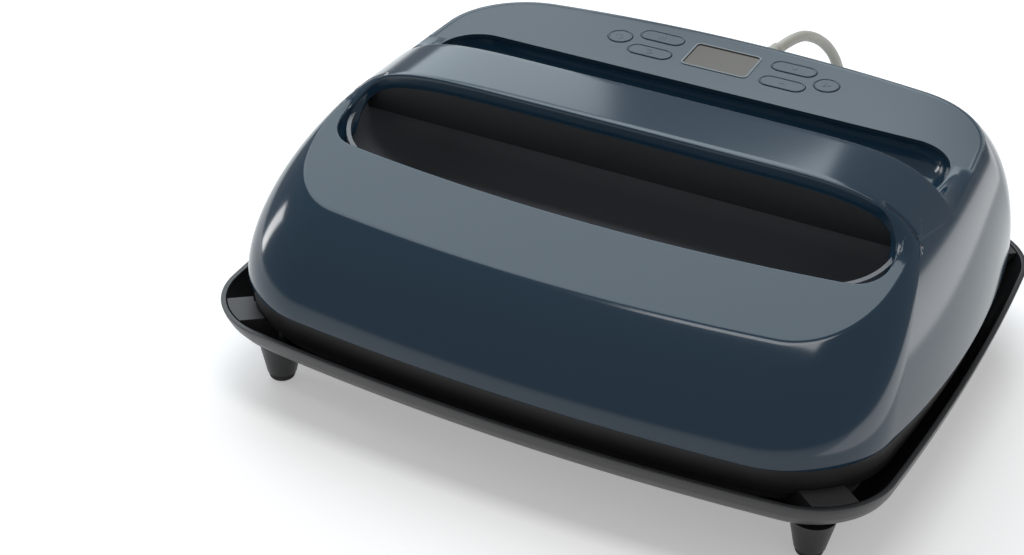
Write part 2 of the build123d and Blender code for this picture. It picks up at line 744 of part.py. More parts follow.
# Upper shell with ridge, facets, thumb groove, slot and panel seat
EXIT_DIRECTION = Vector(
    math.sin(math.radians(EXIT_TURN)) * math.cos(math.radians(EXIT_RISE)),
    math.cos(math.radians(EXIT_TURN)) * math.cos(math.radians(EXIT_RISE)),
    math.sin(math.radians(EXIT_RISE)),
)
EXIT_PLANE = Plane(origin=(EXIT_X, EXIT_Y, EXIT_Z), x_dir=(1, -math.tan(math.radians(EXIT_TURN)), 0),
                   z_dir=EXIT_DIRECTION)
PANEL_PLANE = Plane(
    origin=(0, PANEL_CENTRE_Y, panel_z(PANEL_CENTRE_Y)),
    x_dir=(1, 0, 0),
    z_dir=(0, -PANEL_SLOPE, 1),
)

FRONT_LOW_Z = facet_z(RIDGE_FRONT_Y) - SHELL_WALL
BACK_LOW_Z = panel_z(RIDGE_BACK_Y) - PANEL_DROP - SHELL_WALL
ROOM_LOW_Z = BACK_LOW_Z - 3 * SHELL_WALL

with BuildPart() as shell_dome:
    loft(shell_sections(0))

with BuildPart() as shell_room:
    loft(shell_sections(SHELL_WALL))
    extrude(
        body_profile(SHELL_WALL, PANEL_DROP + SHELL_WALL),
        amount=FAR_SIDE,
        both=True,
        mode=Mode.INTERSECT,
    )

with BuildPart() as ridge_room:
    extrude(arch_profile(SHELL_WALL, SEAM_Z + SHELL_WALL), amount=FAR_SIDE, both=True)
    extrude(
        ridge_profile(SHELL_WALL, ROOM_LOW_Z, ROOM_LOW_Z),
        amount=FAR_SIDE,
        both=True,
        mode=Mode.INTERSECT,
    )

with BuildPart() as groove_skin:
    extrude(groove_outline(GROOVE_FLOOR_Z - GROOVE_WALL, GROOVE_WALL), amount=ABOVE_ALL - GROOVE_FLOOR_Z)
    fillet(groove_skin.faces().sort_by(Axis.Z)[0].edges(), GROOVE_FILLET + GROOVE_WALL)

with BuildPart() as groove_space:
    extrude(groove_outline(GROOVE_FLOOR_Z, 0), amount=ABOVE_ALL - GROOVE_FLOOR_Z)
    fillet(groove_space.faces().sort_by(Axis.Z)[0].edges(), GROOVE_FILLET)

with BuildPart() as slot_space:
    extrude(cavity_outline(SEAM_Z + SHELL_WALL, 0), amount=ABOVE_ALL - SEAM_Z)
    extrude(arch_profile(RIDGE_BAND, SEAM_Z), amount=FAR_SIDE, both=True, mode=Mode.INTERSECT)
    extrude(slot_outline(SEAM_Z + SHELL_WALL), amount=ABOVE_ALL - SEAM_Z)

with BuildPart() as slot_ramp:
    add(shell_dome.part)
    extrude(arch_profile(0, SEAM_Z + SHELL_WALL), amount=FAR_SIDE, both=True, mode=Mode.INTERSECT)
    extrude(ramp_profile(), amount=FAR_SIDE, both=True, mode=Mode.INTERSECT)

with BuildPart() as ridge_solid:
    extrude(arch_profile(0, SEAM_Z + SHELL_WALL), amount=FAR_SIDE, both=True)
    extrude(
        ridge_profile(0, FRONT_LOW_Z, BACK_LOW_Z),
        amount=FAR_SIDE,
        both=True,
        mode=Mode.INTERSECT,
    )

with BuildPart() as boss_columns:
    add(shell_room.part)
    with BuildSketch(Plane.XY.offset(SEAM_Z)):
        with Locations(*SEAT_POINTS):
            Circle(BOSS_RADIUS)
    extrude(amount=CROWN_RISE, mode=Mode.INTERSECT)

with BuildPart() as shell:
    add(shell_dome.part)
    extrude(body_profile(0, PANEL_DROP), amount=FAR_SIDE, both=True, mode=Mode.INTERSECT)
    add(slot_ramp.part)
    add(ridge_solid.part)
    add(shell_room.part - groove_skin.part, mode=Mode.SUBTRACT)
    add(ridge_room.part, mode=Mode.SUBTRACT)
    add(groove_space.part, mode=Mode.SUBTRACT)
    add(slot_space.part, mode=Mode.SUBTRACT)
    add(boss_columns.part)
    with BuildSketch(Plane.XY.offset(SEAM_Z)):
        with Locations(*SEAT_POINTS):
            Circle(SHELL_SCREW_RADIUS + PILOT_GAP)
    extrude(amount=SHELL_SCREW_DEPTH, mode=Mode.SUBTRACT)
    with BuildSketch(PANEL_PLANE):
        RectangleRounded(WINDOW_LENGTH, WINDOW_WIDTH, WINDOW_CORNER)
    extrude(amount=-3 * SHELL_WALL, mode=Mode.SUBTRACT)
    with BuildSketch(EXIT_PLANE.offset(-COLLAR_INSIDE)):
        Circle(COLLAR_RADIUS)
    extrude(amount=COLLAR_INSIDE + COLLAR_OUTSIDE)
    with BuildSketch(EXIT_PLANE.offset(-COLLAR_INSIDE)):
        Circle(RELIEF_NECK_RADIUS + RELIEF_NECK_GAP)
    extrude(amount=COLLAR_INSIDE + COLLAR_OUTSIDE, mode=Mode.SUBTRACT)
shell.part.label = "shell"
export_step(shell.part, "parts/shell.step")

# Finger-cavity liner: a scooped bowl under the slot and the ridge
LINER_INSIDE = LINER_STEP
LINER_OUTSIDE = LINER_STEP + LINER_WALL
with BuildPart() as liner_space:
    extrude(cavity_outline(LINER_FLOOR_Z, LINER_INSIDE), amount=ABOVE_ALL - LINER_FLOOR_Z)
    fillet(liner_space.faces().sort_by(Axis.Z)[0].edges(), LINER_FLOOR_FILLET)

with BuildPart() as cavity_liner:
    extrude(cavity_outline(LINER_FLOOR_Z - LINER_WALL, LINER_OUTSIDE), amount=ABOVE_ALL - LINER_FLOOR_Z)
    fillet(cavity_liner.faces().sort_by(Axis.Z)[0].edges(), LINER_FLOOR_FILLET + LINER_WALL)
    add(liner_space.part, mode=Mode.SUBTRACT)
    extrude(
        side_profile([
            (SLOT_FRONT_Y - 10, SEAM_Z),
            (SLOT_FRONT_Y - 10, facet_z(SLOT_FRONT_Y - 10) - SHELL_WALL),
            (RIDGE_FRONT_Y - LINER_TOP_GAP, facet_z(RIDGE_FRONT_Y - LINER_TOP_GAP) - SHELL_WALL),
            (RIDGE_FRONT_Y - LINER_TOP_GAP, facet_z(RIDGE_FRONT_Y) - SHELL_WALL - LINER_TOP_GAP),
            (RIDGE_BACK_Y, facet_z(RIDGE_FRONT_Y) - SHELL_WALL - LINER_TOP_GAP),
            (RIDGE_BACK_Y, SEAM_Z),
        ]),
        amount=FAR_SIDE,
        both=True,
        mode=Mode.INTERSECT,
    )
cavity_liner.part.label = "cavity_liner"
export_step(cavity_liner.part, "parts/cavity_liner.step")


# Grip: the black underside of the ridge, rounded for the fingers

def grip_profile(front_y):
    """Side view of the grip from front_y back to the liner's rear wall."""
    back_y = CAVITY_BACK_Y - GRIP_GAP - 1.0
    with BuildSketch(Plane.YZ) as profile:
        with BuildLine():
            Polyline(
                (front_y, ABOVE_ALL),
                (front_y, GRIP_UNDERSIDE_Z),
                (back_y, GRIP_UNDERSIDE_Z),
                (back_y, ABOVE_ALL),
                close=True,
            )
        make_face()
        low = profile.vertices().group_by(Axis.Z)[0].sort_by(Axis.Y)
        fillet(low[0], GRIP_FRONT_FILLET)
        fillet(low[-1], GRIP_BACK_FILLET)
    return profile.sketch


with BuildPart() as grip_core:
    extrude(arch_profile(SHELL_WALL + GRIP_GAP, SEAM_Z), amount=FAR_SIDE, both=True)
    extrude(cavity_outline(LINER_FLOOR_Z, -GRIP_GAP), amount=ABOVE_ALL, mode=Mode.INTERSECT)
    extrude(
        grip_profile(RIDGE_FRONT_Y + SHELL_WALL + GRIP_GAP),
        amount=FAR_SIDE,
        both=True,
        mode=Mode.INTERSECT,
    )

with BuildPart() as grip:
    extrude(arch_profile(RIDGE_BAND + GRIP_GAP, SEAM_Z), amount=FAR_SIDE, both=True)
    extrude(cavity_outline(LINER_FLOOR_Z, -GRIP_GAP), amount=ABOVE_ALL, mode=Mode.INTERSECT)
    extrude(
        grip_profile(RIDGE_FRONT_Y + GRIP_SET_BACK),
        amount=FAR_SIDE,
        both=True,
        mode=Mode.INTERSECT,
    )
    add(grip_core.part)
grip.part.label = "grip"
export_step(grip.part, "parts/grip.step")

# Control panel
STEM_END = PANEL_THICKNESS + FLANGE_GAP + FLANGE_THICKNESS + STEM_LENGTH
DOME_TOP = STEM_END + BUTTON_TRAVEL + TRAVEL_SPARE
KEYPAD_TOP = DOME_TOP + DOME_HEIGHT
BOARD_TOP = KEYPAD_TOP + KEYPAD_THICKNESS
POST_POINTS = [(side_x * POST_X, side_y * POST_OFFSET) for side_x, side_y in CORNERS.values()]
BUTTONS = {
    "power": (-ROUND_OFFSET_X, 0, "round"),
    "temperature": (-PILL_OFFSET_X, ROW_OFFSET, "pill"),
    "timer": (-PILL_OFFSET_X, -ROW_OFFSET, "pill"),
    "plus": (PILL_OFFSET_X, ROW_OFFSET, "pill"),
    "minus": (PILL_OFFSET_X, -ROW_OFFSET, "pill"),
    "start": (ROUND_OFFSET_X, 0, "round"),
}


def button_outline(depth, button_name, grow):
    """Outline of a button, grown by grow, at that depth under the panel's top."""
    x, y, form = BUTTONS[button_name]
    with BuildSketch(PANEL_PLANE.offset(-depth)) as outline:
        with Locations((x, y)):
            if form == "round":
                Circle(ROUND_BUTTON_RADIUS + grow)
            else:
                SlotOverall(PILL_LENGTH + 2 * grow, PILL_WIDTH + 2 * grow)
    return outline.sketch


with BuildPart() as panel:
    add(shell_dome.part)
    far_back = SEAM_BACK + 20
    front_y = RIDGE_BACK_Y + PANEL_FRONT_GAP
    extrude(
        side_profile([
            (front_y, panel_z(front_y) - PANEL_DROP),
            (front_y, panel_z(front_y)),
            (far_back, panel_z(far_back)),
            (far_back, panel_z(far_back) - PANEL_DROP),
        ]),
        amount=FAR_SIDE,
        both=True,
        mode=Mode.INTERSECT,
    )
    add(groove_space.part, mode=Mode.SUBTRACT)
    for button_name in BUTTONS:
        extrude(
            button_outline(-PANEL_THICKNESS, button_name, BUTTON_GAP),
            amount=-3 * PANEL_THICKNESS,
            mode=Mode.SUBTRACT,
        )
    with BuildSketch(PANEL_PLANE.offset(PANEL_THICKNESS)):
        RectangleRounded(RIM_LENGTH, RIM_WIDTH, RIM_ROUND)
    extrude(amount=-3 * PANEL_THICKNESS, mode=Mode.SUBTRACT)
    with BuildSketch(PANEL_PLANE.offset(-PANEL_THICKNESS + POST_ROOT)):
        with Locations(*POST_POINTS):
            Circle(POST_RADIUS)
    extrude(amount=-(BOARD_TOP - PANEL_THICKNESS + POST_ROOT))
    with BuildSketch(PANEL_PLANE.offset(-BOARD_TOP)):
        with Locations(*POST_POINTS):
            Circle(BOARD_SCREW_RADIUS + PILOT_GAP)
    extrude(amount=BOARD_SCREW_LENGTH, mode=Mode.SUBTRACT)
panel.part.label = "panel"
export_step(panel.part, "parts/panel.step")

# Buttons: cap, retaining flange and stem
for button_name, (x, y, form) in BUTTONS.items():
    flange_depth = PANEL_THICKNESS + FLANGE_GAP
    with BuildPart() as button:
        extrude(
            button_outline(flange_depth, button_name, 0),
            amount=flange_depth + BUTTON_PROUD,
        )
        extrude(button_outline(flange_depth, button_name, FLANGE_WIDTH), amount=-FLANGE_THICKNESS)
        with BuildSketch(PANEL_PLANE.offset(-flange_depth - FLANGE_THICKNESS)):
            with Locations((x, y)):
                Circle(STEM_RADIUS)
        extrude(amount=-STEM_LENGTH)
    button.part.label = f"button_{button_name}"
    export_step(button.part, f"parts/button_{button_name}.step")

# Silicone keypads under the buttons, left and right of the display
for pad_name, side_x in {"left": -1, "right": 1}.items():
    with BuildPart() as keypad:
        with BuildSketch(PANEL_PLANE.offset(-BOARD_TOP)):
            with Locations((side_x * (KEYPAD_INNER_X + KEYPAD_OUTER_X) / 2, 0)):
                Rectangle(KEYPAD_OUTER_X - KEYPAD_INNER_X, KEYPAD_WIDTH)
        extrude(amount=KEYPAD_THICKNESS)
        with BuildSketch(PANEL_PLANE.offset(-KEYPAD_TOP)):
            with Locations(*[(x, y) for x, y, form in BUTTONS.values() if x * side_x > 0]):
                Circle(DOME_RADIUS)
        extrude(amount=DOME_HEIGHT)
    keypad.part.label = f"keypad_{pad_name}"
    export_step(keypad.part, f"parts/keypad_{pad_name}.step")

# Display: shiny rim, lens and module
with BuildPart() as display_rim:
    with BuildSketch(PANEL_PLANE.offset(-PANEL_THICKNESS)):
        RectangleRounded(RIM_LENGTH, RIM_WIDTH, RIM_ROUND)
        RectangleRounded(
            RIM_LENGTH - 2 * RIM_BAND,
            RIM_WIDTH - 2 * RIM_BAND,
            RIM_ROUND - RIM_BAND,
            mode=Mode.SUBTRACT,
        )
    extrude(amount=PANEL_THICKNESS + RIM_PROUD)
display_rim.part.label = "display_rim"
export_step(display_rim.part, "parts/display_rim.step")

with BuildPart() as display_lens:
    with BuildSketch(PANEL_PLANE.offset(-PANEL_THICKNESS)):
        RectangleRounded(
            RIM_LENGTH - 2 * (RIM_BAND + LENS_GAP),
            RIM_WIDTH - 2 * (RIM_BAND + LENS_GAP),
            RIM_ROUND - RIM_BAND - LENS_GAP,
        )
    extrude(amount=PANEL_THICKNESS - LENS_RECESS)
display_lens.part.label = "display_lens"
export_step(display_lens.part, "parts/display_lens.step")

with BuildPart() as display_module:
    with BuildSketch(PANEL_PLANE.offset(-BOARD_TOP)):
        Rectangle(MODULE_LENGTH, MODULE_WIDTH)
    extrude(amount=BOARD_TOP - PANEL_THICKNESS)
display_module.part.label = "display_module"
export_step(display_module.part, "parts/display_module.step")

# Control board, its screws and the buzzer
with BuildPart() as control_board:
    with BuildSketch(PANEL_PLANE.offset(-BOARD_TOP)):
        RectangleRounded(CONTROL_BOARD_LENGTH, CONTROL_BOARD_WIDTH, 2.0)
        with Locations(*POST_POINTS):
            Circle(BOARD_SCREW_RADIUS + PILOT_GAP, mode=Mode.SUBTRACT)
    extrude(amount=-BOARD_THICKNESS)
control_board.part.label = "control_board"
export_step(control_board.part, "parts/control_board.step")

with BuildPart() as board_screws:
    with BuildSketch(PANEL_PLANE.offset(-BOARD_TOP - BOARD_THICKNESS)):
        with Locations(*POST_POINTS):
            Circle(BOARD_SCREW_HEAD_RADIUS)
    extrude(amount=-BOARD_SCREW_HEAD)
    with BuildSketch(PANEL_PLANE.offset(-BOARD_TOP - BOARD_THICKNESS)):
        with Locations(*POST_POINTS):
            Circle(BOARD_SCREW_RADIUS)
    extrude(amount=BOARD_SCREW_LENGTH)
board_screws.part.label = "board_screws"
export_step(board_screws.part, "parts/board_screws.step")

with BuildPart() as buzzer:
    with BuildSketch(PANEL_PLANE.offset(-BOARD_TOP - BOARD_THICKNESS)):
        with Locations((BUZZER_X, 0)):
            Circle(BUZZER_RADIUS)
    extrude(amount=-BUZZER_HEIGHT)
buzzer.part.label = "buzzer"
export_step(buzzer.part, "parts/buzzer.step")

# Shell screws come up through the skirt's web
with BuildPart() as shell_screws:
    with BuildSketch(Plane.XY.offset(WEB_UNDERSIDE_Z)):
        with Locations(*SEAT_POINTS):
            Circle(SHELL_SCREW_HEAD_RADIUS)
    extrude(amount=-SHELL_SCREW_HEAD)
    with BuildSketch(Plane.XY.offset(WEB_UNDERSIDE_Z)):
        with Locations(*SEAT_POINTS):
            Circle(SHELL_SCREW_RADIUS)
    extrude(amount=WEB_THICKNESS + SHELL_SCREW_DEPTH - 1)
shell_screws.part.label = "shell_screws"
export_step(shell_screws.part, "parts/shell_screws.step")

# Main board stands on the web behind the thumb groove
with BuildPart() as main_board:
    with Locations((MAIN_BOARD_X, MAIN_BOARD_Y, SEAM_Z)):
        Box(
            MAIN_BOARD_LENGTH,
            BOARD_THICKNESS,
            MAIN_BOARD_HEIGHT,
            align=(Align.CENTER, Align.MIN, Align.MIN),
        )
main_board.part.label = "main_board"
export_step(main_board.part, "parts/main_board.step")

with BuildPart() as heat_sink:
    with Locations((HEAT_SINK_X, MAIN_BOARD_Y, SEAM_Z + HEAT_SINK_RISE)):
        Box(*HEAT_SINK_SIZE, align=(Align.CENTER, Align.MAX, Align.MIN))
    with Locations((HEAT_SINK_X, MAIN_BOARD_Y - HEAT_SINK_SIZE[1], SEAM_Z + HEAT_SINK_RISE)):
        with GridLocations(HEAT_SINK_SIZE[0] / FIN_COUNT, 0, FIN_COUNT, 1):
            Box(
                FIN_SLOT,
                FIN_DEPTH,
                HEAT_SINK_SIZE[2],
                align=(Align.CENTER, Align.MIN, Align.MIN),
                mode=Mode.SUBTRACT,
            )
heat_sink.part.label = "heat_sink"
export_step(heat_sink.part, "parts/heat_sink.step")

with BuildPart() as relay:
    with Locations((RELAY_X, MAIN_BOARD_Y, SEAM_Z + RELAY_RISE)):
        Box(*RELAY_SIZE, align=(Align.CENTER, Align.MAX, Align.MIN))
    fillet(relay.edges().filter_by(Axis.Y), 1.0)
relay.part.label = "relay"
export_step(relay.part, "parts/relay.step")

with BuildPart() as capacitors:
    with BuildSketch(Plane.XZ.offset(-MAIN_BOARD_Y)):
        with Locations(*[(x, SEAM_Z + CAPACITOR_RISE) for x in CAPACITOR_XS]):
            Circle(CAPACITOR_RADIUS)
    extrude(amount=CAPACITOR_HEIGHT)
capacitors.part.label = "capacitors"
export_step(capacitors.part, "parts/capacitors.step")

with BuildPart() as terminal_block:
    with Locations((TERMINAL_X, TERMINAL_Y, SEAM_Z)):
        Box(*TERMINAL_SIZE, align=(Align.CENTER, Align.CENTER, Align.MIN))
    with Locations((TERMINAL_X, TERMINAL_Y, SEAM_Z + TERMINAL_SIZE[2])):
        with GridLocations(TERMINAL_PITCH, 0, 3, 1):
            Hole(TERMINAL_SCREW_RADIUS, depth=TERMINAL_SCREW_DEPTH)
terminal_block.part.label = "terminal_block"
export_step(terminal_block.part, "parts/terminal_block.step")

# Strain relief where the cord leaves the back of the shell
with BuildPart() as strain_relief:
    with BuildSketch(EXIT_PLANE.offset(-COLLAR_INSIDE)):
        Circle(RELIEF_NECK_RADIUS)
    extrude(amount=COLLAR_INSIDE + COLLAR_OUTSIDE)
    with BuildSketch(EXIT_PLANE.offset(-COLLAR_INSIDE)):
        Circle(RELIEF_FLANGE_RADIUS)
    extrude(amount=-RELIEF_FLANGE)
    with BuildSketch(EXIT_PLANE.offset(COLLAR_OUTSIDE)):
        Circle(RELIEF_FLANGE_RADIUS)
    extrude(amount=RELIEF_FLANGE)
    with BuildSketch(EXIT_PLANE.offset(COLLAR_OUTSIDE + RELIEF_FLANGE)):
        Circle(RELIEF_ROOT_RADIUS)
    with BuildSketch(EXIT_PLANE.offset(COLLAR_OUTSIDE + RELIEF_LENGTH)):
        Circle(RELIEF_TIP_RADIUS)
    loft()
    for rib in range(1, RELIEF_RIBS + 1):
        rib_share = rib / (RELIEF_RIBS + 1)
        rib_depth = COLLAR_OUTSIDE + RELIEF_FLANGE + (RELIEF_LENGTH - RELIEF_FLANGE) * rib_share
        rib_radius = RELIEF_ROOT_RADIUS + (RELIEF_TIP_RADIUS - RELIEF_ROOT_RADIUS) * rib_share
        with BuildSketch(EXIT_PLANE.offset(rib_depth)):
            Circle(rib_radius + 1)
            Circle(rib_radius - RELIEF_RIB_DEPTH, mode=Mode.SUBTRACT)
        extrude(amount=1.2, mode=Mode.SUBTRACT)
strain_relief.part.label = "strain_relief"
export_step(strain_relief.part, "parts/strain_relief.step")

# Cord: free run from the strain relief down to the table and over to the coil
CORD_START = EXIT_PLANE.origin + EXIT_DIRECTION * (COLLAR_OUTSIDE + RELIEF_LENGTH)
COIL_START = (COIL_X + COIL_START_STUB, COIL_Y + COIL_OUTER_RADIUS, COIL_FLOOR_Z)
CORD_POINTS = [
    tuple(CORD_START),
    tuple(CORD_START + EXIT_DIRECTION * 19),
    (17.8, 187.9, 98.5),
    (22.4, 204.9, 83.5),
    (25.2, 214.6, 65.0),
    (27.3, 223.0, 43.0),
    (30.0, 235.0, 21.5),
    (37.0, 256.0, 6.5),
    (47.0, 279.0, COIL_FLOOR_Z),
    (43.0, 303.0, COIL_FLOOR_Z),
    (25.0, 319.0, COIL_FLOOR_Z),
    (0.0, 322.0, COIL_FLOOR_Z),
    (-24.0, 311.0, COIL_FLOOR_Z),
    (-41.0, 293.0, COIL_FLOOR_Z),
    (-57.0, 277.5, COIL_FLOOR_Z),
    (-76.0, COIL_START[1], COIL_FLOOR_Z),
    COIL_START,
]


def run_radii(points):
    """Largest tangent arc at each inner point: 0.45 of the shorter run over tan of half the turn."""
    vectors = [Vector(*b) - Vector(*a) for a, b in zip(points, points[1:])]
    radii = []
    for before, after in zip(vectors, vectors[1:]):
        half_turn = math.radians(before.get_angle(after)) / 2
        radii.append(0.45 * min(before.length, after.length) / math.tan(half_turn))
    return radii


cord_radii = run_radii(CORD_POINTS)
print("cord radii:", [round(radius, 1) for radius in cord_radii])

with BuildPart() as cord_run:
    with BuildLine() as cord_path:
        FilletPolyline(*CORD_POINTS, radius=cord_radii)
    with BuildSketch(Plane(origin=CORD_START, z_dir=EXIT_DIRECTION)):
        Circle(CORD_RADIUS)
    sweep(path=cord_path.wire())
cord_run.part.label = "cord_run"
export_step(cord_run.part, "parts/cord_run.step")
CORD_AREA = math.pi * CORD_RADIUS**2
cord_length = cord_path.wire().length
print("cord run length:", round(cord_length, 1))
print("cord run volume over section times length:",
      round(cord_run.part.volume / (CORD_AREA * cord_length), 4))


# Cord: stored coil, two layers of turns, wound in and out again with a climb between

def half_turns():
    """Start, middle and end of each half turn of the coil, as points on semicircles."""
    arcs = []
    point = Vector(COIL_X, COIL_Y + COIL_OUTER_RADIUS, COIL_FLOOR_Z)
    heading = Vector(-1, 0, 0)
    for index in range(-2 * COIL_TURNS, 2 * COIL_TURNS + 1):
        inner_steps = 2 * COIL_TURNS - abs(index)
        radius = COIL_OUTER_RADIUS - COIL_PITCH / 4 - inner_steps * COIL_PITCH / 2
        across = heading.rotate(Axis.Z, 90)
        climb = COIL_PITCH if index == 0 else 0
        end = point + across * (2 * radius) + Vector(0, 0, climb)
        middle = (point + end) / 2 + heading * ((end - point).length / 2)
        arcs.append((point, middle, end))
        point = end
        heading = heading * -1
    return arcs


COIL_ARCS = half_turns()
COIL_END = COIL_ARCS[-1][2]
COIL_TAIL_END = COIL_END + Vector(COIL_TAIL, 0, 0)

with BuildPart() as cord_coil:
    with BuildLine() as coil_path:
        Line(COIL_START, COIL_ARCS[0][0])
        for start, middle, end in COIL_ARCS:
            ThreePointArc(start, middle, end)
        Line(COIL_END, COIL_TAIL_END)
    with BuildSketch(Plane(origin=COIL_START, z_dir=(-1, 0, 0))):
        Circle(CORD_RADIUS)
    sweep(path=coil_path.wire())
cord_coil.part.label = "cord_coil"
export_step(cord_coil.part, "parts/cord_coil.step")
coil_wire = coil_path.wire()
print("coil length:", round(coil_wire.length, 1))
print("coil volume over section times length:",
      round(cord_coil.part.volume / (CORD_AREA * coil_wire.length), 4))

coil_step = 2.5
coil_count = int(coil_wire.length / coil_step)
coil_samples = [coil_wire @ (index / coil_count) for index in range(coil_count + 1)]
coil_skip = int(math.pi * (COIL_OUTER_RADIUS - (COIL_TURNS + 0.5) * COIL_PITCH) / coil_step)
least_spacing = min(
    (coil_samples[first] - coil_samples[second]).length
    for first in range(0, coil_count + 1, 2)
    for second in range(first + coil_skip, coil_count + 1)
)
print("least gap of the coil to itself:", round(least_spacing - 2 * CORD_RADIUS, 2))

# Tie around the coil's bundle
TIE_INNER_X = COIL_OUTER_RADIUS - (COIL_TURNS - 0.25) * COIL_PITCH - CORD_RADIUS - TIE_SIDE_GAP
TIE_OUTER_X = COIL_OUTER_RADIUS - 0.75 * COIL_PITCH + CORD_RADIUS + TIE_GAP
TIE_TOP_Z = COIL_FLOOR_Z + COIL_PITCH + CORD_RADIUS + TIE_GAP
with BuildPart() as coil_tie:
    with BuildSketch(Plane.XZ.offset(-COIL_Y - TIE_WIDTH / 2)):
        with BuildLine():
            Polyline(
                (COIL_X + TIE_INNER_X - TIE_THICKNESS, 0),
                (COIL_X + TIE_OUTER_X + TIE_THICKNESS, 0),
                (COIL_X + TIE_OUTER_X + TIE_THICKNESS, TIE_TOP_Z + TIE_THICKNESS),
                (COIL_X + TIE_INNER_X - TIE_THICKNESS, TIE_TOP_Z + TIE_THICKNESS),
                close=True,
            )
        make_face()
        with BuildLine():
            Polyline(
                (COIL_X + TIE_INNER_X, TIE_THICKNESS),
                (COIL_X + TIE_OUTER_X, TIE_THICKNESS),
                (COIL_X + TIE_OUTER_X, TIE_TOP_Z),
                (COIL_X + TIE_INNER_X, TIE_TOP_Z),
                close=True,
            )
        make_face(mode=Mode.SUBTRACT)
    extrude(amount=TIE_WIDTH)
coil_tie.part.label = "coil_tie"
export_step(coil_tie.part, "parts/coil_tie.step")

# Plug on the end of the cord, lying on its side
PLUG_AXIS_Z = COIL_TAIL_END.Z
PLUG_PLANE = Plane(origin=COIL_TAIL_END, x_dir=(0, 1, 0), z_dir=(1, 0, 0))
with BuildPart() as plug_body:
    with BuildSketch(PLUG_PLANE):
        Circle(PLUG_BOOT_TIP_RADIUS)
    with BuildSketch(PLUG_PLANE.offset(PLUG_BOOT_LENGTH)):
        Circle(PLUG_BOOT_RADIUS)
    loft()
    with BuildSketch(PLUG_PLANE.offset(PLUG_BOOT_LENGTH)):
        with Locations((PLUG_SHIFT_Y, 0)):
            RectangleRounded(PLUG_WIDTH, 2 * PLUG_AXIS_Z, PLUG_ROUND)
    extrude(amount=PLUG_LENGTH)
plug_body.part.label = "plug_body"
export_step(plug_body.part, "parts/plug_body.step")

PLUG_FACE = PLUG_PLANE.offset(PLUG_BOOT_LENGTH + PLUG_LENGTH)
with BuildPart() as plug_blades:
    with BuildSketch(PLUG_FACE):
        with Locations((BLADE_SHIFT_Y, 0)):
            with GridLocations(0, BLADE_SPREAD, 1, 2):
                Rectangle(BLADE_WIDTH, BLADE_THICKNESS)
    extrude(amount=BLADE_LENGTH)
plug_blades.part.label = "plug_blades"
export_step(plug_blades.part, "parts/plug_blades.step")

with BuildPart() as plug_ground_pin:
    with BuildSketch(PLUG_FACE):
        with Locations((GROUND_SHIFT_Y, 0)):
            Circle(GROUND_RADIUS)
    extrude(amount=GROUND_LENGTH)
    fillet(plug_ground_pin.faces().sort_by(Axis.X)[-1].edges(), GROUND_RADIUS / 2)
plug_ground_pin.part.label = "plug_ground_pin"
export_step(plug_ground_pin.part, "parts/plug_ground_pin.step")
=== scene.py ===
import math

import bmesh
import bpy
import numpy as np
from mathutils import Matrix, Vector


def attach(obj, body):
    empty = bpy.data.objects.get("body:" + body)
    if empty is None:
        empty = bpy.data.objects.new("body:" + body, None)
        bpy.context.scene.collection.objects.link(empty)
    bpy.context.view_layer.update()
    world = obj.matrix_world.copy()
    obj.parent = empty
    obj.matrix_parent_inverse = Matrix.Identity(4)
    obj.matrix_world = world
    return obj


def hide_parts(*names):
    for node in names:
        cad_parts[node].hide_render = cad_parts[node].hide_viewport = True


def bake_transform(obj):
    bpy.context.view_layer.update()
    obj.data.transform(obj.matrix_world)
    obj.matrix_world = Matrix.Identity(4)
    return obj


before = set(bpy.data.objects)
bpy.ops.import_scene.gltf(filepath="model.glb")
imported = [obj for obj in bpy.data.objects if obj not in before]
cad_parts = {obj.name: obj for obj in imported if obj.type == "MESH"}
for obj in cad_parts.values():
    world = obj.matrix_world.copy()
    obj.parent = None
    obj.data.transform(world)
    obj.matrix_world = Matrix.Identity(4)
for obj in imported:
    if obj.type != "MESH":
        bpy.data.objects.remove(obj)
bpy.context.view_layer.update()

# Camera: about a metre from the press, above its front right corner, with a long lens. It is
# placed by the direction it looks in and by the direction that is up in the picture.
LENS_LENGTH = 71.963
FILM_WIDTH = 36.0
eye = Vector((0.32922, -0.77826, 0.55339))
looks_along = Vector((-0.3860, 0.7616, -0.5205)).normalized()
picture_up = Vector((-0.2631, 0.4499, 0.8535))
picture_right = looks_along.cross(picture_up).normalized()
picture_up = picture_right.cross(looks_along)
camera_data = bpy.data.cameras.new("camera")
camera_data.lens = LENS_LENGTH
camera_data.sensor_width = FILM_WIDTH
camera = bpy.data.objects.new("camera", camera_data)
turned = Matrix((picture_right, picture_up, -looks_along)).transposed().to_4x4()
camera.matrix_world = Matrix.Translation(eye) @ turned
bpy.context.scene.collection.objects.link(camera)
bpy.context.scene.camera = camera

# Mains cord: one length of round flexible lead that comes out of the strain relief at the back of
# the casing. It drops to the table, runs round behind the base and is wound for storage.
# Sizes from here on are in millimetres, and MM turns them into metres.
MM = 0.001
CORD_DIAMETER = 5.8
CORD_SIDES = 16
CORD_RUN = [
    (7.487, 149.165, 102.325),
    (12.278, 167.048, 106.599),
    (17.8, 187.9, 98.5),
    (22.4, 204.9, 83.5),
    (25.2, 214.6, 65.0),
    (27.3, 223.0, 43.0),
    (30.0, 235.0, 21.5),
    (37.0, 256.0, 6.5),
    (47.0, 279.0, 4.2),
    (43.0, 303.0, 4.2),
    (25.0, 319.0, 4.2),
    (0.0, 322.0, 4.2),
    (-24.0, 311.0, 4.2),
    (-41.0, 293.0, 4.2),
    (-57.0, 277.5, 4.2),
    (-76.0, 266.4, 4.2),
]
COIL_START = (-100.0, 266.4, 4.2)
COIL_RADII = (42.8, 39.6, 36.4, 33.2, 30.0, 26.8, 23.6, 26.8, 30.0, 33.2, 36.4, 39.6, 42.8)
CLIMBING_TURN = 6
COIL_PITCH = 6.4
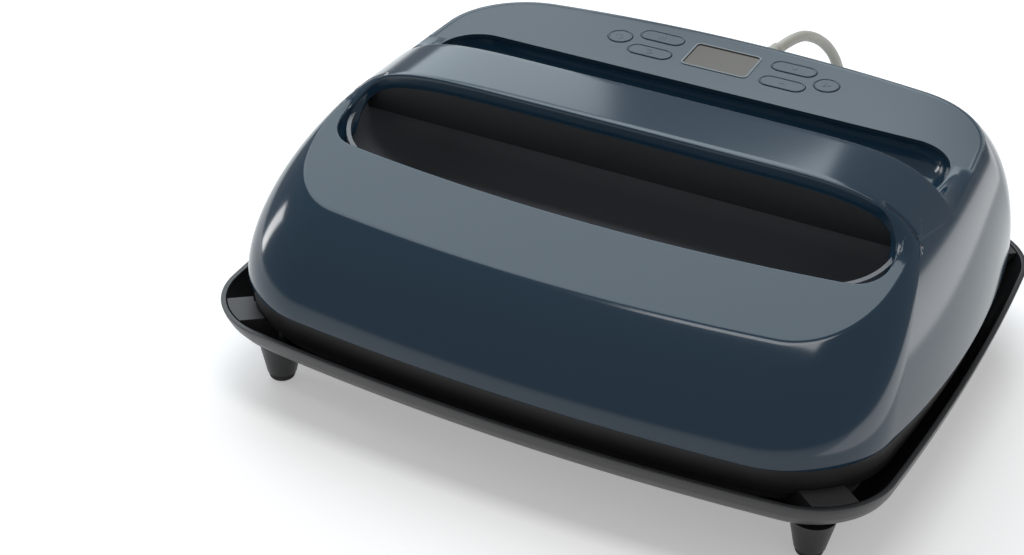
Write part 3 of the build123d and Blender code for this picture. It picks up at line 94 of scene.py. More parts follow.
POINTS_PER_HALF_TURN = 8
COIL_TAIL_BEND = 6.0
COIL_TAIL = 34.0
ROUTE_STEPS = 10
LEAST_STEP = 1e-5


def wound_points():
    """Control points of the coil: half turns one after another, each a fan of points round its own
    centre, a little further out than its radius, because a spline of order 3 cuts its corners."""
    points = []
    x, y, z = COIL_START
    heading = -1.0
    step = math.pi / POINTS_PER_HALF_TURN
    spread = 1 / (0.75 + 0.25 * math.cos(step))
    for number, radius in enumerate(COIL_RADII):
        climb = COIL_PITCH if number == CLIMBING_TURN else 0.0
        centre_y = y + heading * radius
        for index in range(POINTS_PER_HALF_TURN):
            angle = (index + 0.5) * step
            rise = climb * (index + 0.5) / POINTS_PER_HALF_TURN
            points.append((
                x + heading * radius * spread * math.sin(angle),
                centre_y - heading * radius * spread * math.cos(angle),
                z + rise,
            ))
        y += 2 * heading * radius
        z += climb
        heading = -heading
    return points, (x, y, z)


coil_points, coil_end = wound_points()
tail_points = [
    (coil_end[0] + COIL_TAIL_BEND, coil_end[1], coil_end[2]),
    (coil_end[0] + COIL_TAIL, coil_end[1], coil_end[2]),
]


def nurbs_route(name, points, resolution):
    """Points read along one open NURBS spline of order 3 through those control points, in metres."""
    curve = bpy.data.curves.new(name, "CURVE")
    curve.dimensions = "3D"
    spline = curve.splines.new("NURBS")
    spline.points.add(len(points) - 1)
    for point, place in zip(spline.points, points):
        point.co = (place[0] * MM, place[1] * MM, place[2] * MM, 1.0)
    spline.order_u = 3
    spline.use_endpoint_u = True
    spline.resolution_u = resolution
    guide = bpy.data.objects.new(name, curve)
    bpy.context.scene.collection.objects.link(guide)
    bpy.context.view_layer.update()
    line = bpy.data.meshes.new_from_object(guide)
    places = np.empty(len(line.vertices) * 3)
    line.vertices.foreach_get("co", places)
    bpy.data.objects.remove(guide)
    bpy.data.curves.remove(curve)
    bpy.data.meshes.remove(line)
    return places.reshape(-1, 3)


def grid_faces(rows, columns, closed_rows=False, closed_columns=False):
    """Corner numbers of the quads of a rows by columns grid whose points are numbered row by row."""
    row_count = rows if closed_rows else rows - 1
    column_count = columns if closed_columns else columns - 1
    row, column = np.meshgrid(np.arange(row_count), np.arange(column_count), indexing="ij")
    next_row = (row + 1) % rows
    next_column = (column + 1) % columns
    corners = (row * columns + column, row * columns + next_column,
               next_row * columns + next_column, next_row * columns + column)
    return np.stack(corners, axis=-1).reshape(-1, 4)


def mesh_piece(name, points, faces, smooth=True):
    """New mesh object with its place in its mesh, from points in metres and lists of corners."""
    mesh = bpy.data.meshes.new(name)
    mesh.from_pydata(np.asarray(points).tolist(), [], [list(map(int, face)) for face in faces])
    mesh.polygons.foreach_set("use_smooth", [smooth] * len(mesh.polygons))
    mesh.update()
    piece = bpy.data.objects.new(name, mesh)
    bpy.context.scene.collection.objects.link(piece)
    return piece


def tube_rings(route, radii, sides):
    """Rings of points round a route: circles of those radii, square to it and carried along
    without twist, by taking out of each ring's first direction what lies along the route."""
    ahead = np.gradient(route, axis=0)
    ahead /= np.linalg.norm(ahead, axis=1, keepdims=True)
    across = np.empty_like(route)
    first = np.cross(ahead[0], (0.0, 0.0, 1.0))
    across[0] = first / np.linalg.norm(first)
    for index in range(1, len(route)):
        carried = across[index - 1] - ahead[index] * np.dot(across[index - 1], ahead[index])
        across[index] = carried / np.linalg.norm(carried)
    upwards = np.cross(ahead, across)
    angles = np.linspace(0, 2 * np.pi, sides, endpoint=False)
    circle = (np.cos(angles)[None, :, None] * across[:, None, :]
              + np.sin(angles)[None, :, None] * upwards[:, None, :])
    return route[:, None, :] + np.asarray(radii)[:, None, None] * circle


def fix_outward(piece):
    """Turns every face of a closed piece outwards."""
    work = bmesh.new()
    work.from_mesh(piece.data)
    bmesh.ops.recalc_face_normals(work, faces=work.faces)
    work.to_mesh(piece.data)
    work.free()


def capped_faces(rows, columns):
    """Faces of rings joined one to the next, with a flat cap on the first ring and on the last."""
    faces = grid_faces(rows, columns, closed_columns=True).tolist()
    faces.append(list(range(columns))[::-1])
    faces.append(list(range((rows - 1) * columns, rows * columns)))
    return faces


def closed_tube(name, route, radii, sides):
    """Tube with a flat cap at each end: rings round a route, joined ring to ring."""
    rings = tube_rings(route, radii, sides)
    piece = mesh_piece(name, rings.reshape(-1, 3), capped_faces(len(route), sides))
    fix_outward(piece)
    return piece


def new_group(name, inputs, outputs):
    """Empty node group with those named number inputs and outputs."""
    group = bpy.data.node_groups.new(name, "ShaderNodeTree")
    for label, value in inputs:
        socket = group.interface.new_socket(name=label, in_out="INPUT", socket_type="NodeSocketFloat")
        socket.default_value = value
    for label in outputs:
        group.interface.new_socket(name=label, in_out="OUTPUT", socket_type="NodeSocketFloat")
    return group


def add_node(nodes, kind, place, operation=None):
    """New shader node at a place in the editor, with its operation if it has one."""
    node = nodes.new(kind)
    node.location = place
    if operation:
        node.operation = operation
    return node


def moulded_grain_group():
    """Fine skin of a moulded part: small noise for its height, and slow clouds of handling marks
    whose distance from one half, times the spread, is added to the roughness."""
    group = new_group(
        "moulded_grain",
        [("Grain Size", 900.0), ("Cloud Size", 22.0), ("Roughness", 0.5), ("Spread", 0.08)],
        ["Height", "Roughness", "Cloud"],
    )
    nodes, links = group.nodes, group.links
    given = add_node(nodes, "NodeGroupInput", (-900, 0))
    put_out = add_node(nodes, "NodeGroupOutput", (500, 0))
    place = add_node(nodes, "ShaderNodeTexCoord", (-900, 250))
    grain = add_node(nodes, "ShaderNodeTexNoise", (-500, 250))
    grain.inputs["Detail"].default_value = 3.0
    cloud = add_node(nodes, "ShaderNodeTexNoise", (-500, -50))
    cloud.inputs["Detail"].default_value = 4.0
    cloud.inputs["Roughness"].default_value = 0.6
    shift = add_node(nodes, "ShaderNodeMath", (-250, -150), "SUBTRACT")
    shift.inputs[1].default_value = 0.5
    wide = add_node(nodes, "ShaderNodeMath", (-50, -150), "MULTIPLY")
    total = add_node(nodes, "ShaderNodeMath", (150, -150), "ADD")
    total.use_clamp = True
    links.new(place.outputs["Object"], grain.inputs["Vector"])
    links.new(place.outputs["Object"], cloud.inputs["Vector"])
    links.new(given.outputs["Grain Size"], grain.inputs["Scale"])
    links.new(given.outputs["Cloud Size"], cloud.inputs["Scale"])
    links.new(cloud.outputs["Fac"], shift.inputs[0])
    links.new(shift.outputs[0], wide.inputs[0])
    links.new(given.outputs["Spread"], wide.inputs[1])
    links.new(wide.outputs[0], total.inputs[0])
    links.new(given.outputs["Roughness"], total.inputs[1])
    links.new(grain.outputs["Fac"], put_out.inputs["Height"])
    links.new(total.outputs[0], put_out.inputs["Roughness"])
    links.new(cloud.outputs["Fac"], put_out.inputs["Cloud"])
    return group


MOULDED_GRAIN = moulded_grain_group()


def moulded_material(name, colour, worn_colour, roughness, spread=0.08, grain_size=900.0,
                     cloud_size=22.0, bump=0.02, metallic=0.0, specular=0.5, share=0.35):
    """Moulded or cast finish: its colour drifts slowly towards a second one, by that share at most,
    with a fine grain in the surface."""
    material = bpy.data.materials.new(name)
    material.use_nodes = True
    nodes, links = material.node_tree.nodes, material.node_tree.links
    surface = nodes["Principled BSDF"]
    surface.inputs["Metallic"].default_value = metallic
    surface.inputs["Specular IOR Level"].default_value = specular
    grain = add_node(nodes, "ShaderNodeGroup", (-700, 0))
    grain.node_tree = MOULDED_GRAIN
    grain.inputs["Grain Size"].default_value = grain_size
    grain.inputs["Cloud Size"].default_value = cloud_size
    grain.inputs["Roughness"].default_value = roughness
    grain.inputs["Spread"].default_value = spread
    drift = add_node(nodes, "ShaderNodeMapRange", (-500, 250))
    drift.inputs["From Min"].default_value = 0.35
    drift.inputs["From Max"].default_value = 0.70
    drift.inputs["To Max"].default_value = share
    mixed = add_node(nodes, "ShaderNodeMix", (-300, 250))
    mixed.data_type = "RGBA"
    mixed.inputs["A"].default_value = (*colour, 1.0)
    mixed.inputs["B"].default_value = (*worn_colour, 1.0)
    relief = add_node(nodes, "ShaderNodeBump", (-300, -200))
    relief.inputs["Strength"].default_value = bump
    relief.inputs["Distance"].default_value = 0.0004
    links.new(grain.outputs["Cloud"], drift.inputs["Value"])
    links.new(drift.outputs["Result"], mixed.inputs["Factor"])
    links.new(mixed.outputs["Result"], surface.inputs["Base Color"])
    links.new(grain.outputs["Roughness"], surface.inputs["Roughness"])
    links.new(grain.outputs["Height"], relief.inputs["Height"])
    links.new(relief.outputs["Normal"], surface.inputs["Normal"])
    return material


def finish(piece, material):
    """Gives a piece its one material."""
    piece.data.materials.clear()
    piece.data.materials.append(material)
    return piece


cord_points = CORD_RUN + [COIL_START] + coil_points + tail_points
cord_route = nurbs_route("cord_route", cord_points, ROUTE_STEPS)
cord_steps = np.linalg.norm(np.diff(cord_route, axis=0), axis=1)
cord_route = cord_route[np.concatenate(([True], cord_steps > LEAST_STEP))]
cord_radii = np.full(len(cord_route), CORD_DIAMETER * MM / 2)
mains_cord = closed_tube("mains_cord", cord_route, cord_radii, CORD_SIDES)
CORD_JACKET = moulded_material(
    "cord_jacket", (0.50, 0.49, 0.43), (0.40, 0.39, 0.35), 0.42, spread=0.12, grain_size=1500,
    bump=0.05)
finish(mains_cord, CORD_JACKET)
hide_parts("cord_run", "cord_coil")
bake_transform(mains_cord)


def finish_node(node, material):
    """Puts a material in every material slot of a CAD node's object."""
    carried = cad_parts[node]
    if not carried.material_slots:
        carried.data.materials.append(material)
    for place in carried.material_slots:
        place.material = material


PLUG_GREY = moulded_material(
    "plug_plastic", (0.47, 0.46, 0.41), (0.40, 0.39, 0.35), 0.45, spread=0.1, grain_size=1200,
    bump=0.05)
PIN_METAL = moulded_material(
    "pin_metal", (0.75, 0.72, 0.62), (0.62, 0.58, 0.46), 0.28, spread=0.15, grain_size=700,
    cloud_size=180, metallic=1.0, share=0.7)
STRAP_WEAVE = moulded_material(
    "strap_weave", (0.025, 0.026, 0.028), (0.05, 0.05, 0.052), 0.85, grain_size=2600, bump=0.5,
    share=0.8)
finish_node("plug_body", PLUG_GREY)
finish_node("plug_blades", PIN_METAL)
finish_node("plug_ground_pin", PIN_METAL)
finish_node("coil_tie", STRAP_WEAVE)

# Strain relief: a tapered rubber sleeve with grooves cut round it, so that the cord bends gently
# where it leaves the casing's collar.
RELIEF_LENGTH = 24.0
RELIEF_ROOT_RADIUS = 6.4
RELIEF_TIP_RADIUS = 3.75
RELIEF_GROOVES = 5
RELIEF_GROOVE_DEPTH = 0.55
RELIEF_GROOVES_FROM = 0.22
RELIEF_GROOVES_TO = 0.93
RELIEF_SIDES = 32
COLLAR_PLACE = (2.2, 129.4, 97.6)
COLLAR_HEIGHT = 1.2
exit_along = np.array((0.25219, 0.94116, 0.22495))
exit_along /= np.linalg.norm(exit_along)
exit_mouth = np.array(COLLAR_PLACE) + COLLAR_HEIGHT * exit_along
along = np.linspace(0, 1, 60)
taper = RELIEF_ROOT_RADIUS + (RELIEF_TIP_RADIUS - RELIEF_ROOT_RADIUS) * along
in_grooves = (along > RELIEF_GROOVES_FROM) & (along < RELIEF_GROOVES_TO)
grooved_way = (along - RELIEF_GROOVES_FROM) / (RELIEF_GROOVES_TO - RELIEF_GROOVES_FROM)
groove_wave = 0.5 - 0.5 * np.cos(2 * np.pi * RELIEF_GROOVES * grooved_way)
ribs = np.where(in_grooves, RELIEF_GROOVE_DEPTH * groove_wave, 0)
relief_route = (exit_mouth + np.outer(along * RELIEF_LENGTH, exit_along)) * MM
strain_relief = closed_tube("relief_sleeve", relief_route, (taper - ribs) * MM, RELIEF_SIDES)
finish(strain_relief, CORD_JACKET)
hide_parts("strain_relief")
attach(strain_relief, "press")

# Safety base tray: a shallow moulded tray with a sloping wall and a rounded rim, black plastic
# with a fine matt grain. The press stands in it on four corner rests.
TRAY_STATIONS = ((20.0, 156.0, 120.95), (28.0, 162.5, 131.5), (43.5, 168.5, 142.5))
TRAY_CORNERS = (36.0, 41.0)
TRAY_BOW = 1100.0
TRAY_SIDE_BOW = 1700.0
TRAY_WALL = 2.6


def bowed_corner(half_x, near, far, near_radius, far_radius, side_radius, corner, s, stop_y):
    """Right half of a bowed rounded rectangle seen from above, as x and y. The corner's centre
    lies where a circle inside the near arc and one inside the side arc cross.
    s runs 0 to 1 along the near side, which is an arc, 1 to 2 round the corner arc that touches
    near side and right side, and 2 to 3 along the right side's arc as far as stop_y."""
    near_y = -near + near_radius - np.sqrt(near_radius**2 - half_x**2)
    far_y = far - far_radius + np.sqrt(far_radius**2 - half_x**2)
    middle_y = (near_y + far_y) / 2
    rise = side_radius - np.sqrt(side_radius**2 - ((near + far) / 2) ** 2)
    chord = (far_y - near_y) / 2
    big = (chord**2 + rise**2) / (2 * rise)
    near_centre_y = near_radius - near
    side_centre_x = half_x - big
    gap_y = middle_y - near_centre_y
    gap = np.hypot(side_centre_x, gap_y)
    reach_near = near_radius - corner
    reach_side = big - corner
    along_gap = (reach_near**2 - reach_side**2 + gap**2) / (2 * gap)
    off_gap = np.sqrt(reach_near**2 - along_gap**2)
    corner_x = (along_gap * side_centre_x - off_gap * gap_y) / gap
    corner_y = near_centre_y + (along_gap * gap_y + off_gap * side_centre_x) / gap
    near_angle = np.arctan2(corner_y - near_centre_y, corner_x)
    side_angle = np.arctan2(corner_y - middle_y, corner_x - side_centre_x)
    stop_angle = np.arcsin(np.clip((stop_y - middle_y) / big, -1, 1))
    first = np.clip(s, 0, 1)
    second = np.clip(s - 1, 0, 1)
    third = np.clip(s - 2, 0, 1)
    angle_1 = -np.pi / 2 + first * (near_angle + np.pi / 2)
    angle_2 = near_angle + second * (side_angle - near_angle)
    angle_3 = side_angle + third * (stop_angle - side_angle)
    x = np.where(s <= 1, near_radius * np.cos(angle_1),
                 np.where(s <= 2, corner_x + corner * np.cos(angle_2),
                          side_centre_x + big * np.cos(angle_3)))
    y = np.where(s <= 1, near_centre_y + near_radius * np.sin(angle_1),
                 np.where(s <= 2, corner_y + corner * np.sin(angle_2),
                          middle_y + big * np.sin(angle_3)))
    return x, y


def tray_loop(z, inset):
    """Closed loops of the tray's outline at those heights, drawn in by an inset. Half widths follow
    the parabola through the three stations, and the corners change evenly with the height."""
    z = np.asarray(z)[:, None]
    inset = np.asarray(inset)[:, None]
    heights, half_xs, half_ys = zip(*TRAY_STATIONS)
    first = (z - heights[0]) / (heights[1] - heights[0])
    lift = z - heights[0]
    lower, upper, whole = heights[1] - heights[0], heights[2] - heights[1], heights[2] - heights[0]
    bend_x = ((half_xs[2] - half_xs[1]) / upper - (half_xs[1] - half_xs[0]) / lower) / whole
    bend_y = ((half_ys[2] - half_ys[1]) / upper - (half_ys[1] - half_ys[0]) / lower) / whole
    half_x = half_xs[0] + first * (half_xs[1] - half_xs[0]) + bend_x * lift * (z - heights[1]) - inset
    half_y = half_ys[0] + first * (half_ys[1] - half_ys[0]) + bend_y * lift * (z - heights[1]) - inset
    corner = TRAY_CORNERS[0] + (TRAY_CORNERS[1] - TRAY_CORNERS[0]) * np.clip(lift / whole, 0, 1) - inset
    s = np.concatenate((np.linspace(0, 1, 15), np.linspace(1, 2, 19)[1:], np.linspace(2, 3, 9)[1:]))
    s = s[None, :]
    x, y = bowed_corner(half_x, half_y, half_y, TRAY_BOW, TRAY_BOW, TRAY_SIDE_BOW, corner, s, 0.0)
    quarter = np.stack((x, y, np.broadcast_to(z, x.shape)), axis=-1)
    back = quarter[:, ::-1][:, 1:] * (1, -1, 1)
    right = np.concatenate((quarter, back), axis=1)
    left = right[:, ::-1][:, 1:-1] * (-1, 1, 1)
    return np.concatenate((right, left), axis=1)


def rounded_profile(points, radii, steps=5):
    """Open profile of points whose inner corners are rounded by short curves of that reach."""
    points = [np.array(point, float) for point in points]
    made = [points[0]]
    for before, here, after, reach in zip(points, points[1:], points[2:], radii):
        start = here + (before - here) * min(reach / np.linalg.norm(before - here), 0.5)
        end = here + (after - here) * min(reach / np.linalg.norm(after - here), 0.5)
        for q in np.linspace(0, 1, steps):
            made.append((1 - q) ** 2 * start + 2 * q * (1 - q) * here + q**2 * end)
    made.append(points[-1])
    return np.array(made)


# the wall's section as height and inset: under the floor, up the outside, over the rim, down inside
wall_profile = [
    (20.0, 30.0), (20.0, 0.4), (21.8, 0.0), (25.0, 0.0), (30.0, 0.0), (36.0, 0.0), (41.0, 0.0),
    (43.5, 0.0), (43.5, TRAY_WALL), (41.0, TRAY_WALL), (36.0, TRAY_WALL), (30.0, TRAY_WALL),
    (26.0, TRAY_WALL + 0.4), (23.0, TRAY_WALL + 5.0), (23.0, 30.0),
]
wall_rounds = (1.4, 1.4, 0.5, 0.5, 0.5, 0.5, 0.5, 0.5, 0.5, 0.5, 0.5, 1.5, 2.5)
tray_profile = rounded_profile(wall_profile, wall_rounds)
tray_loops = tray_loop(tray_profile[:, 0], tray_profile[:, 1])
tray_faces = capped_faces(tray_loops.shape[0], tray_loops.shape[1])
tray = mesh_piece("base_tray", tray_loops.reshape(-1, 3) * MM, tray_faces)
fix_outward(tray)
BASE_BLACK = moulded_material(
    "base_black", (0.020, 0.0205, 0.022), (0.026, 0.0265, 0.028), 0.38, spread=0.10,
    grain_size=1400, bump=0.06, specular=0.5)
finish(tray, BASE_BLACK)
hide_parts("tray")
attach(tray, "base")

# Floor mat, feet and corner rests of the base: pressed fibre on the tray's floor, tapered legs
# with rubber tips under it, and a soft saddle in each corner that the press's skirt stands on.
FIBRE_GREY = moulded_material(
    "pressed_fibre", (0.30, 0.30, 0.29), (0.22, 0.22, 0.21), 0.9, grain_size=1800, cloud_size=60,
    bump=0.6, share=0.6)
TIP_RUBBER = moulded_material(
    "tip_rubber", (0.02, 0.02, 0.02), (0.035, 0.034, 0.033), 0.7, grain_size=1600, bump=0.2)
REST_SILICONE = moulded_material(
    "rest_silicone", (0.032, 0.032, 0.033), (0.05, 0.05, 0.05), 0.5, spread=0.12, grain_size=1500,
    bump=0.1)
finish_node("floor_mat", FIBRE_GREY)
for corner in ("front_left", "front_right", "back_left", "back_right"):
    finish_node(f"foot_{corner}", BASE_BLACK)
    finish_node(f"foot_tip_{corner}", TIP_RUBBER)
    finish_node(f"corner_rest_{corner}", REST_SILICONE)

# Heating stack: a cast plate with a dark non-stick face, a steel-sheathed element cast into its
# back, a fibre board and an aluminium shield over it, hung from the skirt by four studs.
PLATE_COAT = moulded_material(
    "plate_coat", (0.11, 0.11, 0.115), (0.16, 0.155, 0.15), 0.45, spread=0.15, grain_size=2200,
    bump=0.15, metallic=0.4, share=0.6)
SHEATH_STEEL = moulded_material(
    "sheath_steel", (0.35, 0.33, 0.31), (0.24, 0.19, 0.15), 0.4, grain_size=900, metallic=1.0,
    share=0.8)
SHIELD_ALUMINIUM = moulded_material(
    "shield_aluminium", (0.78, 0.78, 0.79), (0.66, 0.66, 0.67), 0.3, grain_size=600, cloud_size=40,
    metallic=1.0)
ZINC_STEEL = moulded_material(
    "zinc_steel", (0.62, 0.62, 0.60), (0.70, 0.68, 0.58), 0.32, grain_size=900, cloud_size=200,
    metallic=1.0)
CERAMIC = moulded_material(
    "ceramic_white", (0.78, 0.77, 0.72), (0.70, 0.68, 0.62), 0.5, grain_size=1500, bump=0.1)
finish_node("heat_plate", PLATE_COAT)
finish_node("heating_element", SHEATH_STEEL)
finish_node("insulation_board", FIBRE_GREY)
finish_node("heat_shield", SHIELD_ALUMINIUM)
finish_node("plate_studs", ZINC_STEEL)
finish_node("temperature_sensor", ZINC_STEEL)
finish_node("thermal_fuse", CERAMIC)

# Skirt: the black ring between casing and tray, moulded with the web that carries the plate.
# Its wall draws in a little towards its lower edge.
SKIRT_BLACK = moulded_material(
    "skirt_black", (0.034, 0.033, 0.034), (0.042, 0.041, 0.042), 0.42, spread=0.1, grain_size=1300,
    bump=0.05)
finish_node("skirt", SKIRT_BLACK)

# Casing: one glossy moulding with a steep wall, a sloping front facet round the finger slot, an
# arched handle ridge and a scooped thumb groove. Its edges are rounded by a millimetre or two.

# its outline at the seam, the powers by which that shrinks as the wall rises, the radii of its
# bowed sides at the seam and near the top, and its planes' rise at the middle and their slope
SEAM_Z = 54.0
SEAM_HALF_X = 164.5
SEAM_FRONT = 136.3
SEAM_BACK = 139.4
CROWN_RISE = 80.6
WALL_POWER = 8.5
RISE_POWER = 1.28
FRONT_POWERS = (1.82, 1.366)
BACK_POWERS = (1.2, 9.0)
SEAM_BOW = 1100.0
FRONT_BOW = 2040.0
BACK_BOW = 675.0
SEAM_SIDE_BOW = 650.0
SIDE_BOW = 2500.0
SEAM_CORNER = 55.0
CORNER_LOSS = 11.0
FULL_CHANGE = 0.75
FACET_RISE = 69.85
FACET_SLOPE = 0.2713
PANEL_RISE = 57.06
PANEL_SLOPE = 0.0792
RIDGE_FRONT = -25.0
RIDGE_BACK = 15.0
RAMP_START = -42.0
EDGE_ROUND = 1.3
LIP_ROUND = 1.1
LEAST_ROUND = 0.3
TOP_SHARE = 0.995
LOWEST_CUT = 0.05
HIGHEST_CUT = 0.93
HALVINGS = 40
CUT_STEP = 0.002


def dome_outline(h, s, back, stop_y):
    """Right half of the casing's level section at share h of the crown's rise, as x and y.
    Its half widths shrink by one minus a power of h, itself to a power, and its bows and corner
    change evenly up to three quarters of the rise."""
    h = np.clip(h, 0.0, TOP_SHARE)
    share = np.minimum(h / FULL_CHANGE, 1.0)
    half_x = SEAM_HALF_X * (1 - h**RISE_POWER) ** (1 / WALL_POWER)
    front = SEAM_FRONT * (1 - h ** FRONT_POWERS[0]) ** (1 / FRONT_POWERS[1])
    rear = SEAM_BACK * (1 - h ** BACK_POWERS[0]) ** (1 / BACK_POWERS[1])
    front_bow = 1 / ((1 - share) / SEAM_BOW + share / FRONT_BOW)
    rear_bow = 1 / ((1 - share) / SEAM_BOW + share / BACK_BOW)
    side_bow = 1 / ((1 - share) / SEAM_SIDE_BOW + share / SIDE_BOW)
    corner = SEAM_CORNER - CORNER_LOSS * share
    if back:
        x, y = bowed_corner(half_x, rear, front, rear_bow, front_bow, side_bow, corner, s, -stop_y)
        return x, -y
    return bowed_corner(half_x, front, rear, front_bow, rear_bow, side_bow, corner, s, stop_y)


def facet_z(y):
    """Height of the front facet's plane."""
    return SEAM_Z + FACET_RISE + FACET_SLOPE * y


def panel_z(y):
    """Height of the control panel's plane."""
    return SEAM_Z + PANEL_RISE + PANEL_SLOPE * y


def arch_z(x, y):
    """Height of the handle ridge: the side wall's own curve carried over the top, as wide at each y
    as the wall that it grows out of."""
    u = np.clip(np.abs(x) / np.interp(y, ARCH_Y, ARCH_HALF_X), 0, 0.9999)
    return SEAM_Z + CROWN_RISE * (1 - u**WALL_POWER) ** (1 / RISE_POWER)


def full_width(x, h):
    """Half width at the seam of a wall that passes x at share h of the rise."""
    return x / (1 - h**RISE_POWER) ** (1 / WALL_POWER)


def smooth_step(value, start, end):
    """Nothing before start, one after end, and between them three squares less two cubes of the way."""
    t = np.clip((value - start) / (end - start), 0, 1)
    return t * t * (3 - 2 * t)


def late_step(value, start, end):
    """Nothing before start, one after end, and between them four cubes less three fourth powers of
    the way, which is slow at first and steep later."""
    t = np.clip((value - start) / (end - start), 0, 1)
    return t**3 * (4 - 3 * t)


def top_z(x, y):
    """Height of the front facet with the ramps that climb to the ridge past the slot's ends."""
    over = np.maximum(arch_z(x, y) - facet_z(y), 0)
    return facet_z(y) + over * late_step(y, RAMP_START, RIDGE_FRONT + LIP_ROUND)


def cut_share(s, plane, back, stop_y):
    """Share of the crown's rise at which each column of the wall meets a plane, by halving."""
    low = np.full(s.shape, LOWEST_CUT)
    high = np.full(s.shape, HIGHEST_CUT)
    for _ in range(HALVINGS):
        middle = (low + high) / 2
        y = dome_outline(middle, s, back, stop_y)[1]
        above = SEAM_Z + CROWN_RISE * middle > plane(y)
        high = np.where(above, middle, high)
        low = np.where(above, low, middle)
    return (low + high) / 2


def dome_points(h, s, back, stop_y):
    """Points of the casing's wall."""
    x, y = dome_outline(h, s, back, stop_y)
    return np.stack((x, y, np.broadcast_to(SEAM_Z + CROWN_RISE * h, x.shape)), axis=-1)


def share_before(cut, s, back, stop_y, reach):
    """Share of the rise that lies that reach below the cut, measured along the wall."""
    rise = dome_points(cut, s, back, stop_y) - dome_points(cut - CUT_STEP, s, back, stop_y)
    return cut - reach * CUT_STEP / np.linalg.norm(rise, axis=-1)


def curved_rows(start, corner, end, count):
    """Rows of points of a soft edge: a quadratic curve from start to end that leans on the corner."""
    q = np.linspace(0, 1, count + 2)[1:-1].reshape(-1, *([1] * start.ndim))
    return (1 - q) ** 2 * start + 2 * q * (1 - q) * corner + q**2 * end


front_stop = RIDGE_FRONT + LIP_ROUND
back_stop = RIDGE_BACK - LIP_ROUND
wall_steps = np.linspace(0, 1, 30)
half_way = np.concatenate((np.linspace(0, 1, 37), np.linspace(1, 2, 29)[1:]))
front_s = np.concatenate((half_way, np.linspace(2, 3, 49)[1:]))
back_s = np.concatenate((half_way, np.linspace(2, 3, 17)[1:]))
front_cut = cut_share(front_s, facet_z, False, front_stop)
rim = dome_points(front_cut, front_s, False, front_stop)
edge_reach = EDGE_ROUND * (1 - late_step(rim[:, 1], RAMP_START, front_stop)) + LEAST_ROUND
front_wall_top = share_before(front_cut, front_s, False, front_stop, edge_reach)
back_cut = cut_share(back_s, panel_z, True, back_stop)
back_wall_top = share_before(back_cut, back_s, True, back_stop, EDGE_ROUND)

SLOT_HALF = 135.5
SLOT_CORNER = 15.0
SLOT_BOW = 1100.0
SLOT_FRONT = -65.0
SLOT_END_SHARE = 0.12


def slot_ring(s, grow):
    """Right half of the finger slot's outline from above, grown outwards: s runs 0 to 1 along its
    bowed front edge, 1 to 2 round the front corner, 2 to 3 past the end and round the back corner."""
    bow_centre = SLOT_FRONT + SLOT_BOW
    centre_x = SLOT_HALF - SLOT_CORNER
    front_centre_y = bow_centre - math.sqrt((SLOT_BOW - SLOT_CORNER) ** 2 - centre_x**2)
    back_centre_y = RIDGE_FRONT - SLOT_CORNER
    tangent = math.atan2(front_centre_y - bow_centre, centre_x)
    first = np.clip(s, 0, 1)
    second = np.clip(s - 1, 0, 1)
    third = np.clip(s - 2, 0, 1)
    angle_1 = -np.pi / 2 + first * (tangent + np.pi / 2)
    angle_2 = tangent * (1 - second)
    end_part = np.clip(third / SLOT_END_SHARE, 0, 1)
    angle_3 = np.pi / 2 * np.clip((third - SLOT_END_SHARE) / (1 - SLOT_END_SHARE), 0, 1)
    x = np.where(s <= 1, (SLOT_BOW + grow) * np.cos(angle_1),
                 np.where(s <= 2, centre_x + (SLOT_CORNER + grow) * np.cos(angle_2),
                          centre_x + (SLOT_CORNER + grow) * np.cos(angle_3)))
    y = np.where(s <= 1, bow_centre + (SLOT_BOW + grow) * np.sin(angle_1),
                 np.where(s <= 2, front_centre_y + (SLOT_CORNER + grow) * np.sin(angle_2),
                          front_centre_y + end_part * (back_centre_y - front_centre_y)
                          + (SLOT_CORNER + grow) * np.sin(angle_3)))
    return x, y


# the ridge is as wide at each y as the wall below it, measured where both run along the side
SIDE_FROM = -75.0
SIDE_TO = 60.0
rear_end = dome_points(back_cut, back_s, True, back_stop)
on_side = rim[:, 1] > SIDE_FROM
rear_on_side = rear_end[:, 1] < SIDE_TO
ARCH_Y = np.concatenate((rim[on_side, 1], rear_end[rear_on_side, 1][::-1]))
ARCH_HALF_X = np.concatenate((
    full_width(rim[on_side, 0], front_cut[on_side]),
    full_width(rear_end[rear_on_side, 0], back_cut[rear_on_side])[::-1],
))

# front half of the wall, its rounded edge, and the facet as far as the slot's lip
ROWS_START = 0.4
ROWS_SHORT = 1.0
wall_rows = dome_points(wall_steps[:, None] * front_wall_top, front_s, False, front_stop)
ring_x, ring_y = slot_ring(front_s, LIP_ROUND)
span = np.hypot(ring_x - rim[:, 0], ring_y - rim[:, 1])
row_steps = np.linspace(0, 1, 22)[:, None] ** 1.5
reach = np.concatenate((
    edge_reach[None],
    edge_reach + ROWS_START + row_steps * (span - edge_reach - ROWS_SHORT),
    span[None],
))
share = reach / span
top_x = rim[:, 0] + share * (ring_x - rim[:, 0])
top_y = rim[:, 1] + share * (ring_y - rim[:, 1])
top_rows = np.stack((top_x, top_y, top_z(top_x, top_y)), axis=-1)
edge_rows = curved_rows(wall_rows[-1], rim, top_rows[0], 7)
front_right = np.concatenate((wall_rows, edge_rows, top_rows))

# side strip under the ridge and the ridge's own end, as far in as the slot's corner
strip_y = np.linspace(front_stop, back_stop, 13)[1:]
strip_wall_top = np.interp(strip_y, (front_stop, back_stop), (front_wall_top[-1], back_wall_top[-1]))


def side_wall(h, y):
    """Points of the right side wall at share h of the rise and at that y, on its long arc."""
    h = np.clip(h, 0.0, TOP_SHARE)
    x = dome_outline(h, np.full(np.shape(h), 3.0), False, y)[0]
    return np.stack((x, np.broadcast_to(y, x.shape), SEAM_Z + CROWN_RISE * h), axis=-1)


